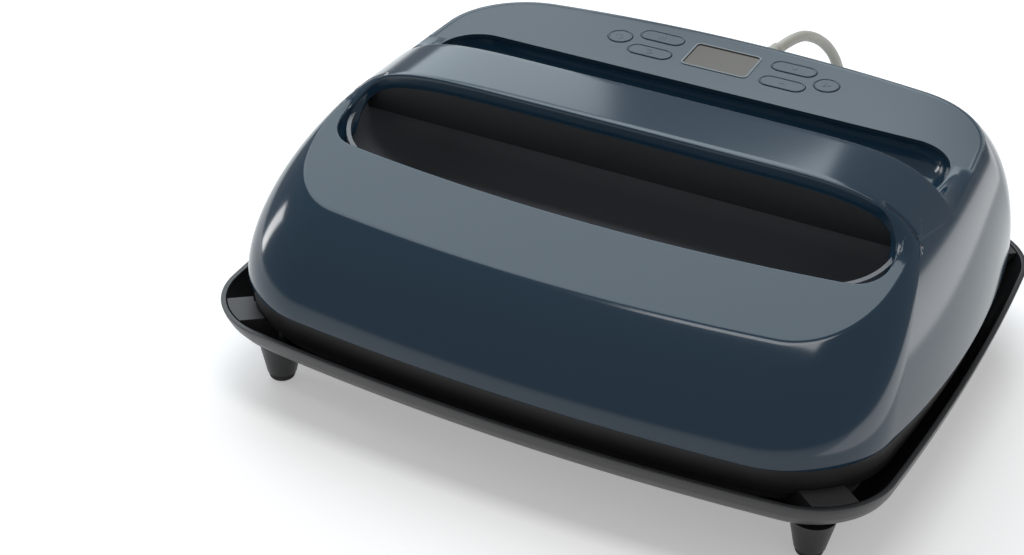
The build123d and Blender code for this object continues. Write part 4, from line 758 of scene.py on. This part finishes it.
strip_shares = wall_steps[:, None] * strip_wall_top
strip_rows = side_wall(strip_shares, np.broadcast_to(strip_y, strip_shares.shape))
last_column = front_right[len(wall_steps):, -1]
centre_x = SLOT_HALF - SLOT_CORNER
wall_x = strip_rows[-1, :, 0]
draw_in = (wall_x - centre_x) / (wall_rows[-1, -1, 0] - centre_x)
over_x = centre_x + (last_column[:, 0:1] - centre_x) * draw_in
over_y = np.broadcast_to(strip_y, over_x.shape)
over_rows = np.stack((over_x, over_y, arch_z(over_x, over_y)), axis=-1)
strip_right = np.concatenate((strip_rows, over_rows))
right_half = np.concatenate((front_right, strip_right), axis=1)
left_half = right_half[:, ::-1] * (-1, 1, 1)
front_skin = np.concatenate((left_half, right_half[:, 1:]), axis=1)

# the ridge between the slot's ends
bridge_x = np.linspace(centre_x, -centre_x, 91)
bridge_y = np.concatenate(([front_stop], strip_y))
bridge = np.stack(np.broadcast_arrays(
    bridge_x[:, None], bridge_y[None, :], arch_z(bridge_x[:, None], bridge_y[None, :])), axis=-1)

# the lip all round the slot: rounded edge, a band that leans in, and a ledge out to the liner
LIP_SINK = 0.1
BAND_HIGH = 9.0
BAND_HIGH_BACK = 6.5
BAND_DROP = 0.8
FRONT_LEAN = 2.6
END_LEAN = 2.4
LEDGE_DROP = 1.0
LEDGE_START = 0.6
LEDGE_END = 1.6
LEDGE_END_BACK = 2.2
right_ring = np.stack(slot_ring(front_s, 0.0), axis=-1)
bridge_ring = np.stack((bridge_x[1:-1], np.full(len(bridge_x) - 2, RIDGE_FRONT)), axis=-1)
ring = np.concatenate((right_ring, bridge_ring, right_ring[:0:-1] * (-1, 1)))
ring_top = np.concatenate((
    front_right[-1], bridge[1:-1, 0], front_right[-1, :0:-1] * (-1, 1, 1)))
ring_edge_z = ring_top[:, 2] - LIP_SINK


def ring_out(grow, middle_grow):
    """The whole slot outline grown outwards, with its own growth along the ridge."""
    right = np.stack(slot_ring(front_s, grow), axis=-1)
    middle = bridge_ring + (0.0, middle_grow)
    return np.concatenate((right, middle, right[:0:-1] * (-1, 1)))


def at_height(plan, z):
    """Plan points at those heights."""
    return np.concatenate((plan, np.broadcast_to(z, (len(plan),))[:, None]), axis=1)


towards_back = smooth_step(front_s, 2.1, 2.7)
lean_in = (FRONT_LEAN + END_LEAN * smooth_step(front_s, 1.0, 1.6)) * (1 - towards_back)
right_foot = BAND_HIGH - (BAND_HIGH - BAND_HIGH_BACK) * towards_back
band_foot = np.concatenate((right_foot, np.full(len(bridge_ring), BAND_HIGH_BACK), right_foot[:0:-1]))
lip_corner = at_height(ring, ring_edge_z)
lip_low = at_height(ring, ring_edge_z - LIP_ROUND)
band_start = at_height(ring, ring_edge_z - LIP_ROUND - BAND_DROP)
band_end = at_height(ring_out(-lean_in, 0.0), ring_edge_z - band_foot)
ledge_z = ring_edge_z - band_foot - LEDGE_DROP
ledge_start = at_height(ring_out(LEDGE_START - lean_in, LEDGE_START), ledge_z)
ledge_end = at_height(ring_out(LEDGE_END - lean_in, LEDGE_END_BACK), ledge_z)
band_rows = [(1 - way) * band_start + way * band_end for way in (0.0, 0.25, 0.5, 0.9)]
lip = np.concatenate((
    ring_top[None],
    curved_rows(ring_top, lip_corner, lip_low, 6),
    lip_low[None],
    np.stack(band_rows),
    curved_rows(band_rows[-1], band_end, ledge_start, 4),
    ledge_start[None],
    ledge_end[None],
))

# back half of the wall with its rounded edge and a narrow strip of the panel's plane
STRIP_LIFT = 0.02
STRIP_ROWS = (0.0, 0.6, 1.4)
back_wall = dome_points(wall_steps[:, None] * back_wall_top, back_s, True, back_stop)
back_rim = dome_points(back_cut, back_s, True, back_stop)


def outward_of(line):
    """Level direction that points out of the casing, square to a line of points round it."""
    ahead = np.gradient(line[:, :2], axis=0)
    out = np.stack((ahead[:, 1], -ahead[:, 0]), axis=-1)
    out /= np.linalg.norm(out, axis=1, keepdims=True)
    return out * np.sign(np.sum(out * line[:, :2], axis=1, keepdims=True))


back_outward = outward_of(back_rim)


def back_strip(inset):
    """The back rim drawn in by inset on the panel's plane."""
    plan = back_rim[:, :2] - inset * back_outward
    return at_height(plan, panel_z(plan[:, 1]) + STRIP_LIFT)


back_edge = curved_rows(back_wall[-1], back_rim, back_strip(EDGE_ROUND), 7)
back_border = np.stack([back_strip(EDGE_ROUND + further) for further in STRIP_ROWS])
back_right = np.concatenate((back_wall, back_edge, back_border))
back_left = back_right[:, ::-1] * (-1, 1, 1)
back_skin = np.concatenate((back_left, back_right[:, 1:]), axis=1)

# the ridge's rear face, from its rounded edge down to the panel's underside
PANEL_THICKNESS = 2.4
REAR_ROW_DROP = 0.4
LEAST_REAR_DROP = 0.3
rear_top_right = strip_right[len(wall_steps) - 1:, -1]
rear_top = np.concatenate((rear_top_right, bridge[1:-1, -1], rear_top_right[::-1] * (-1, 1, 1)))
rear_corner = rear_top + (0.0, LIP_ROUND, 0.0)
rear_low = rear_corner - (0.0, 0.0, LIP_ROUND)
rear_foot = rear_corner.copy()
rear_foot[:, 2] = np.minimum(panel_z(RIDGE_BACK) - PANEL_THICKNESS, rear_low[:, 2] - LEAST_REAR_DROP)
rear_face = np.concatenate((
    rear_top[None], curved_rows(rear_top, rear_corner, rear_low, 6), rear_low[None],
    (rear_low - (0, 0, REAR_ROW_DROP))[None], rear_foot[None]))

# the thumb groove: a bowl with rounded far corners, under the panel's edge and the ridge's rear face
GROOVE_HALF = 133.0
GROOVE_BACK = 66.0
GROOVE_FLOOR = 99.0
GROOVE_FILLET = 15.0
GROOVE_CORNER = 22.0
GROOVE_NEAR_CORNER = 3.0
LEAST_FAR_CORNER = 0.4
LEAST_NEAR_CORNER = 0.2
GROOVE_FLOOR_ROWS = (17.0, 19.5, 22.0, 24.0)


def groove_ring(grow):
    """The groove's closed outline from above, grown outwards; its corners never shrink to nothing."""
    quarter = np.linspace(0, np.pi / 2, 17)
    far = max(GROOVE_CORNER + grow, LEAST_FAR_CORNER)
    near = max(GROOVE_NEAR_CORNER + grow, LEAST_NEAR_CORNER)
    far_x = GROOVE_HALF + grow - far
    far_y = GROOVE_BACK + grow - far
    near_x = GROOVE_HALF + grow - near
    near_y = RIDGE_BACK - grow + near
    far_right = np.stack((far_x + far * np.cos(quarter), far_y + far * np.sin(quarter)), -1)
    far_side = np.stack((np.linspace(far_x, -far_x, 41), np.full(41, GROOVE_BACK + grow)), -1)[1:-1]
    near_left = np.stack((-near_x - near * np.cos(quarter), near_y - near * np.sin(quarter)), -1)
    near_side = np.stack((np.linspace(-near_x, near_x, 41), np.full(41, RIDGE_BACK - grow)), -1)[1:-1]
    return np.concatenate((far_right, far_side, far_right[::-1] * (-1, 1), near_left, near_side,
                           near_left[::-1] * (-1, 1)))


groove_rows = []
lip_top = panel_z(groove_ring(0.0)[:, 1]) - PANEL_THICKNESS
groove_rows.append(at_height(groove_ring(0.0), lip_top)[None])
for turn in np.linspace(0, np.pi / 2, 13):
    inset = GROOVE_FILLET * (1 - math.cos(turn))
    level = GROOVE_FLOOR + GROOVE_FILLET * (1 - math.sin(turn))
    level = np.minimum(level, lip_top - 0.01) if turn == 0 else level
    groove_rows.append(at_height(groove_ring(-inset), level)[None])
for inset in GROOVE_FLOOR_ROWS:
    groove_rows.append(at_height(groove_ring(-inset), GROOVE_FLOOR)[None])
groove = np.concatenate(groove_rows)

# behind the ridge's ends the side walls sink to the panel in a short ramp
REAR_RAMP_END = 52.0
RAMP_FOOT = 6.5
RAMP_POWER = 1.6
RAMP_LIFT = 0.04
RAMP_OUT = 0.03
RAMP_WALL_ROWS = (0.03, 0.02, 0.012, 0.006)
INNER_GAP = 0.4
ramp_y = np.linspace(back_stop, REAR_RAMP_END, 34)
ramp_cut = (panel_z(ramp_y) - SEAM_Z) / CROWN_RISE
ramp_rim = side_wall(ramp_cut, ramp_y)
ramp_rows = [side_wall(ramp_cut - drop, ramp_y) + (RAMP_OUT, 0, 0) for drop in RAMP_WALL_ROWS]
inner_x = GROOVE_HALF + INNER_GAP
fall = (1 - (ramp_y - back_stop) / (REAR_RAMP_END - back_stop)) ** RAMP_POWER
for way in np.linspace(0, 1, 26) ** RAMP_POWER:
    across_x = ramp_rim[:, 0] + way * (inner_x - ramp_rim[:, 0])
    ramp_over = np.maximum(arch_z(across_x, ramp_y) - panel_z(ramp_y), 0) * fall
    ramp_over *= smooth_step(across_x, inner_x, inner_x + RAMP_FOOT)
    ramp_rows.append(np.stack((across_x, ramp_y, panel_z(ramp_y) + RAMP_LIFT + ramp_over), axis=-1))
ramp_right = np.stack(ramp_rows)
ramp_left = ramp_right[:, ::-1] * (-1, 1, 1)

# lower edge of the casing: a small round and a lip turned in over the skirt
SEAM_ROUND = 0.7
SEAM_LIP = 2.8


def with_seam_lip(skin):
    """A wall's rows with its lower edge rounded and turned in level, as a lip."""
    seam = skin[0]
    out = outward_of(seam)
    inner = at_height(seam[:, :2] - SEAM_LIP * out, SEAM_Z)
    turned_in = at_height(seam[:, :2] - SEAM_ROUND * out, SEAM_Z)
    above = seam + (0, 0, SEAM_ROUND)
    round_rows = curved_rows(turned_in, seam, above, 4)
    return np.concatenate((inner[None], turned_in[None], round_rows, above[None], skin[1:]))


front_skin = with_seam_lip(front_skin)
back_skin = with_seam_lip(back_skin)

# each patch with whether its columns close into a ring and whether its faces need turning over
patches = [
    (front_skin, False, False),
    (bridge, False, False),
    (lip, True, False),
    (back_skin, False, True),
    (rear_face, False, True),
    (ramp_right, False, True),
    (ramp_left, False, True),
    (groove, True, False),
]
skin_points = []
skin_faces = []
offset = 0
for patch, closed, flip in patches:
    patch_faces = grid_faces(patch.shape[0], patch.shape[1], closed_columns=closed)
    if flip:
        patch_faces = patch_faces[:, ::-1]
    skin_faces.extend((patch_faces + offset).tolist())
    skin_points.append(patch.reshape(-1, 3))
    offset += patch.shape[0] * patch.shape[1]
last_row = offset - groove.shape[1]
skin_faces.append(list(range(last_row, offset)))
casing = mesh_piece("casing", np.concatenate(skin_points) * MM, skin_faces)


def weld(piece, distance):
    """Joins points that lie on each other and drops faces that have no area."""
    work = bmesh.new()
    work.from_mesh(piece.data)
    bmesh.ops.remove_doubles(work, verts=work.verts, dist=distance)
    bmesh.ops.dissolve_degenerate(work, dist=distance / 10, edges=work.edges)
    work.to_mesh(piece.data)
    work.free()


WELD_DISTANCE = 0.00001
weld(casing, WELD_DISTANCE)
CASING_BLUE = moulded_material(
    "casing_blue", (0.012, 0.036, 0.064), (0.013, 0.038, 0.067), 0.12, spread=0.03, grain_size=700,
    cloud_size=9, bump=0.004, specular=0.5)
finish(casing, CASING_BLUE)
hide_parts("shell")
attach(casing, "press")

# Control panel: a flat plastic plate let into the casing's back, in the same blue with a duller
# finish. The six key caps stand in its holes and have its finish.
PANEL_BLUE = moulded_material(
    "panel_blue", (0.016, 0.038, 0.063), (0.018, 0.040, 0.066), 0.24, spread=0.04, grain_size=1500,
    cloud_size=14, bump=0.012, specular=0.5)
finish_node("panel", PANEL_BLUE)
for button in ("power", "temperature", "timer", "plus", "minus", "start"):
    finish_node(f"button_{button}", PANEL_BLUE)

# Keys: each cap has a fine raised bead round its edge and a moulded sign in thin lines that shows
# a little lighter: power, heat, clock, plus, minus and start.
KEYS_Y = 94.0
PANEL_MIDDLE = np.array((0.0, KEYS_Y, panel_z(KEYS_Y)))
PANEL_UP = np.array((0.0, -PANEL_SLOPE, 1.0)) / math.hypot(PANEL_SLOPE, 1.0)
PANEL_BACKWARD = np.array((0.0, 1.0, PANEL_SLOPE)) / math.hypot(PANEL_SLOPE, 1.0)
KEY_PROUD = 0.15
KEY_BEAD = 0.42
BEAD_SINK = 0.1
BEAD_SIDES = 10
SIGN_LINE = 0.17
SIGN_SIDES = 8
# where each key's middle lies along and across the panel, its end radius and half its straight run
KEY_PLACES = {
    "power": (-55.5, 0.0, 6.4, 0.0),
    "temperature": (-35.5, 8.0, 5.0, 6.75),
    "timer": (-35.5, -8.0, 5.0, 6.75),
    "plus": (35.5, 8.0, 5.0, 6.75),
    "minus": (35.5, -8.0, 5.0, 6.75),
    "start": (55.5, 0.0, 6.4, 0.0),
}


def on_panel(u, v, w):
    """Points from places along the panel, across it and above its surface."""
    plan = np.outer(u, (1.0, 0.0, 0.0)) + np.outer(v, PANEL_BACKWARD) + np.outer(w, PANEL_UP)
    return (PANEL_MIDDLE + plan) * MM


def key_outline(radius, half_straight):
    """Closed outline of a key: two half circles joined by straight runs, or a circle."""
    turn = np.linspace(-np.pi / 2, np.pi / 2, 25)
    right = np.stack((half_straight + radius * np.cos(turn), radius * np.sin(turn)), -1)
    if half_straight == 0:
        return np.concatenate((right, -right[1:-1]))
    run = np.linspace(-1, 1, 9)[1:-1, None] * (half_straight, 0.0)
    return np.concatenate((right, run[::-1] + (0.0, radius), -right, run + (0.0, -radius)))


def closed_bead(loop, radius):
    """Ring of small round section along a closed loop."""
    wrapped = np.concatenate((loop[-1:], loop, loop[:1]))
    rings = tube_rings(wrapped, np.full(len(wrapped), radius * MM), BEAD_SIDES)[1:-1]
    return rings.reshape(-1, 3), grid_faces(len(loop), BEAD_SIDES, True, True)


def line_bead(route, radius):
    """Rod of small round section along an open route."""
    rings = tube_rings(route, np.full(len(route), radius * MM), SIGN_SIDES)
    return rings.reshape(-1, 3), capped_faces(len(route), SIGN_SIDES)


def arc_line(radius, start, end, shift=(0.0, 0.0)):
    """Arc as points on the panel, between two angles in degrees."""
    turn = np.radians(np.linspace(start, end, 25))
    return np.stack((shift[0] + radius * np.cos(turn), shift[1] + radius * np.sin(turn)), -1)


def straight_line(*corners):
    """Run of straight lines through those corners, with points along each."""
    parts = [np.linspace(a, b, 7)[:-1] for a, b in zip(corners, corners[1:])]
    return np.concatenate(parts + [np.array(corners[-1:], float)])


def wave_line(x):
    """Short upright wave: a sine that goes once up and down."""
    v = np.linspace(-1.7, 1.7, 25)
    return np.stack((x + 0.42 * np.sin(v * np.pi / 1.7), v), -1)


KEY_SIGNS = {
    "power": [arc_line(2.1, 120, 420), straight_line((0.0, 0.3), (0.0, 2.7))],
    "temperature": [wave_line(-1.5), wave_line(0.0), wave_line(1.5)],
    "timer": [arc_line(2.0, 0, 360), straight_line((0.0, 1.2), (0.0, 0.0), (0.9, 0.0))],
    "plus": [straight_line((-1.7, 0.0), (1.7, 0.0)), straight_line((0.0, -1.7), (0.0, 1.7))],
    "minus": [straight_line((-1.7, 0.0), (1.7, 0.0))],
    "start": [straight_line((-1.3, -1.9), (2.0, 0.0), (-1.3, 1.9), (-1.3, -1.9))],
}
SIGN_BLUE = moulded_material(
    "sign_blue", (0.16, 0.19, 0.22), (0.18, 0.21, 0.24), 0.35, spread=0.05, grain_size=1800, bump=0.01)
for key, (key_u, key_v, key_radius, key_straight) in KEY_PLACES.items():
    edge = key_outline(key_radius - KEY_BEAD, key_straight)
    edge_height = np.full(len(edge), KEY_PROUD - BEAD_SINK)
    edge_points = on_panel(key_u + edge[:, 0], key_v + edge[:, 1], edge_height)
    bead_points, bead_faces = closed_bead(edge_points, KEY_BEAD)
    bead = mesh_piece(f"key_bead_{key}", bead_points, bead_faces)
    fix_outward(bead)
    finish(bead, PANEL_BLUE)
    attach(bead, f"button_{key}")
    sign_points = []
    sign_faces = []
    for line in KEY_SIGNS[key]:
        route = on_panel(key_u + line[:, 0], key_v + line[:, 1], np.full(len(line), KEY_PROUD))
        line_points, line_faces = line_bead(route, SIGN_LINE)
        start = sum(len(points) for points in sign_points)
        sign_faces.extend([[corner + start for corner in face] for face in line_faces])
        sign_points.append(line_points)
    sign = mesh_piece(f"key_sign_{key}", np.concatenate(sign_points), sign_faces)
    fix_outward(sign)
    finish(sign, SIGN_BLUE)
    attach(sign, f"button_{key}")

# Finger cavity: a matt grey moulded scoop under the slot, and the black plastic grip along the ridge's
# underside, where the fingers curl. The grip's near-black is partly its own black plastic and partly
# painted shade, standing in for the shade that falls under the ridge.
LINER_GREY = moulded_material(
    "liner_grey", (0.17, 0.18, 0.20), (0.165, 0.177, 0.192), 0.42, spread=0.08, grain_size=1500,
    bump=0.06)
# near-black grip colour: black plastic plus painted shade under the ridge
GRIP_BLACK_AND_SHADE = moulded_material(
    "grip_black", (0.012, 0.0125, 0.014), (0.016, 0.0165, 0.018), 0.42, spread=0.08,
    grain_size=1600, bump=0.05)
finish_node("cavity_liner", LINER_GREY)
finish_node("grip", GRIP_BLACK_AND_SHADE)

# Display: a thin shiny frame let into the panel round a glossy window in the dull taupe of a
# segment display that is switched off; the display itself lies hidden under the window.
LENS = moulded_material(
    "display_lens", (0.088, 0.074, 0.058), (0.095, 0.080, 0.064), 0.10, spread=0.02,
    grain_size=900, bump=0.0, specular=0.22)
RIM_METAL = moulded_material(
    "display_frame", (0.13, 0.14, 0.15), (0.10, 0.105, 0.11), 0.22, grain_size=900, metallic=1.0)
MODULE = moulded_material(
    "display_module", (0.30, 0.29, 0.27), (0.25, 0.24, 0.22), 0.5, grain_size=1200)
finish_node("display_lens", LENS)
finish_node("display_rim", RIM_METAL)
finish_node("display_module", MODULE)

# Electronics inside the casing: two fibreglass boards with their moulded components, the silicone
# keypads under the keys, an aluminium heat sink and the zinc-plated screws that hold them.
BOARD_GREEN = moulded_material(
    "board_green", (0.03, 0.14, 0.06), (0.05, 0.19, 0.09), 0.35, grain_size=400, cloud_size=300,
    share=0.8)
COMPONENT_BLACK = moulded_material(
    "component_black", (0.02, 0.02, 0.02), (0.03, 0.03, 0.03), 0.5, grain_size=1200)
KEYPAD = moulded_material(
    "keypad_silicone", (0.36, 0.36, 0.36), (0.30, 0.30, 0.30), 0.6, grain_size=1400, bump=0.1)
for node in ("control_board", "main_board"):
    finish_node(node, BOARD_GREEN)
for node in ("buzzer", "relay", "capacitors"):
    finish_node(node, COMPONENT_BLACK)
for node in ("keypad_left", "keypad_right"):
    finish_node(node, KEYPAD)
for node in ("board_screws", "shell_screws"):
    finish_node(node, ZINC_STEEL)
finish_node("heat_sink", SHIELD_ALUMINIUM)
finish_node("terminal_block", CERAMIC)

# Floor and light: a pale sheet that glows a little where the camera or a reflection sees it. Two
# cool soft lights stand behind at the left, high and low, and a card lies behind at the right and
# shines up. A lamp over the front, a small one at the left and an even sky fill in.
FLOOR_REACH = 6.0
FLOOR_GLOW = 0.34
floor_corners = ((-1, -1, 0), (1, -1, 0), (1, 1, 0), (-1, 1, 0))
floor = mesh_piece("floor", np.array(floor_corners) * FLOOR_REACH, [[0, 1, 2, 3]], smooth=False)
pale = bpy.data.materials.new("pale_floor")
pale.use_nodes = True
pale_nodes, pale_links = pale.node_tree.nodes, pale.node_tree.links
pale_surface = pale_nodes["Principled BSDF"]
pale_surface.inputs["Base Color"].default_value = (0.90, 0.90, 0.90, 1.0)
pale_surface.inputs["Roughness"].default_value = 0.9
pale_surface.inputs["Specular IOR Level"].default_value = 0.0
floor.data.materials.append(pale)
rays = add_node(pale_nodes, "ShaderNodeLightPath", (-900, -200))
seen = add_node(pale_nodes, "ShaderNodeMath", (-700, -200), "MAXIMUM")
seen_at_all = add_node(pale_nodes, "ShaderNodeMath", (-500, -200), "MAXIMUM")
glow = add_node(pale_nodes, "ShaderNodeMath", (-300, -200), "MULTIPLY")
glow.inputs[1].default_value = FLOOR_GLOW
pale_surface.inputs["Emission Color"].default_value = (1.0, 1.0, 1.0, 1.0)
pale_links.new(rays.outputs["Is Camera Ray"], seen.inputs[0])
pale_links.new(rays.outputs["Is Glossy Ray"], seen.inputs[1])
pale_links.new(seen.outputs[0], seen_at_all.inputs[0])
pale_links.new(rays.outputs["Is Transmission Ray"], seen_at_all.inputs[1])
pale_links.new(seen_at_all.outputs[0], glow.inputs[0])
pale_links.new(glow.outputs[0], pale_surface.inputs["Emission Strength"])


def soft_light(name, place, aim, width, height, power, colour=(1.0, 1.0, 1.0)):
    """Rectangular studio light at a place, turned towards an aim."""
    data = bpy.data.lights.new(name, "AREA")
    data.shape = "RECTANGLE"
    data.size = width
    data.size_y = height
    data.energy = power
    data.color = colour
    lamp = bpy.data.objects.new(name, data)
    turn = (Vector(aim) - Vector(place)).to_track_quat("-Z", "Y")
    lamp.matrix_world = Matrix.Translation(place) @ turn.to_matrix().to_4x4()
    bpy.context.scene.collection.objects.link(lamp)


COOL_WHITE = (0.84, 0.95, 1.0)
soft_light("overhead", (-0.69, 0.765, 1.36), (0.0, 0.0, 0.10), 1.70, 1.06, 13.5, COOL_WHITE)
soft_light("low_back_left", (-1.04, 1.08, 0.70), (0.0, 0.0, 0.13), 1.0, 0.46, 2.8, COOL_WHITE)
soft_light("right_card", (1.05, 0.95, 0.01), (1.05, 0.95, 1.0), 1.5, 2.4, 12.5)
soft_light("front_top", (0.0, -0.20, 1.60), (0.0, -0.05, 0.1), 0.9, 0.45, 6.0)
soft_light("left_side", (-1.3, -0.05, 0.30), (-0.1, 0.0, 0.07), 0.16, 0.5, 2.0)
SKY_STRENGTH = 0.32
world = bpy.data.worlds.new("studio")
bpy.context.scene.world = world
world.use_nodes = True
background = world.node_tree.nodes["Background"]
background.inputs["Color"].default_value = (1.0, 1.0, 1.0, 1.0)
background.inputs["Strength"].default_value = SKY_STRENGTH
bpy.context.scene.view_settings.view_transform = "Standard"
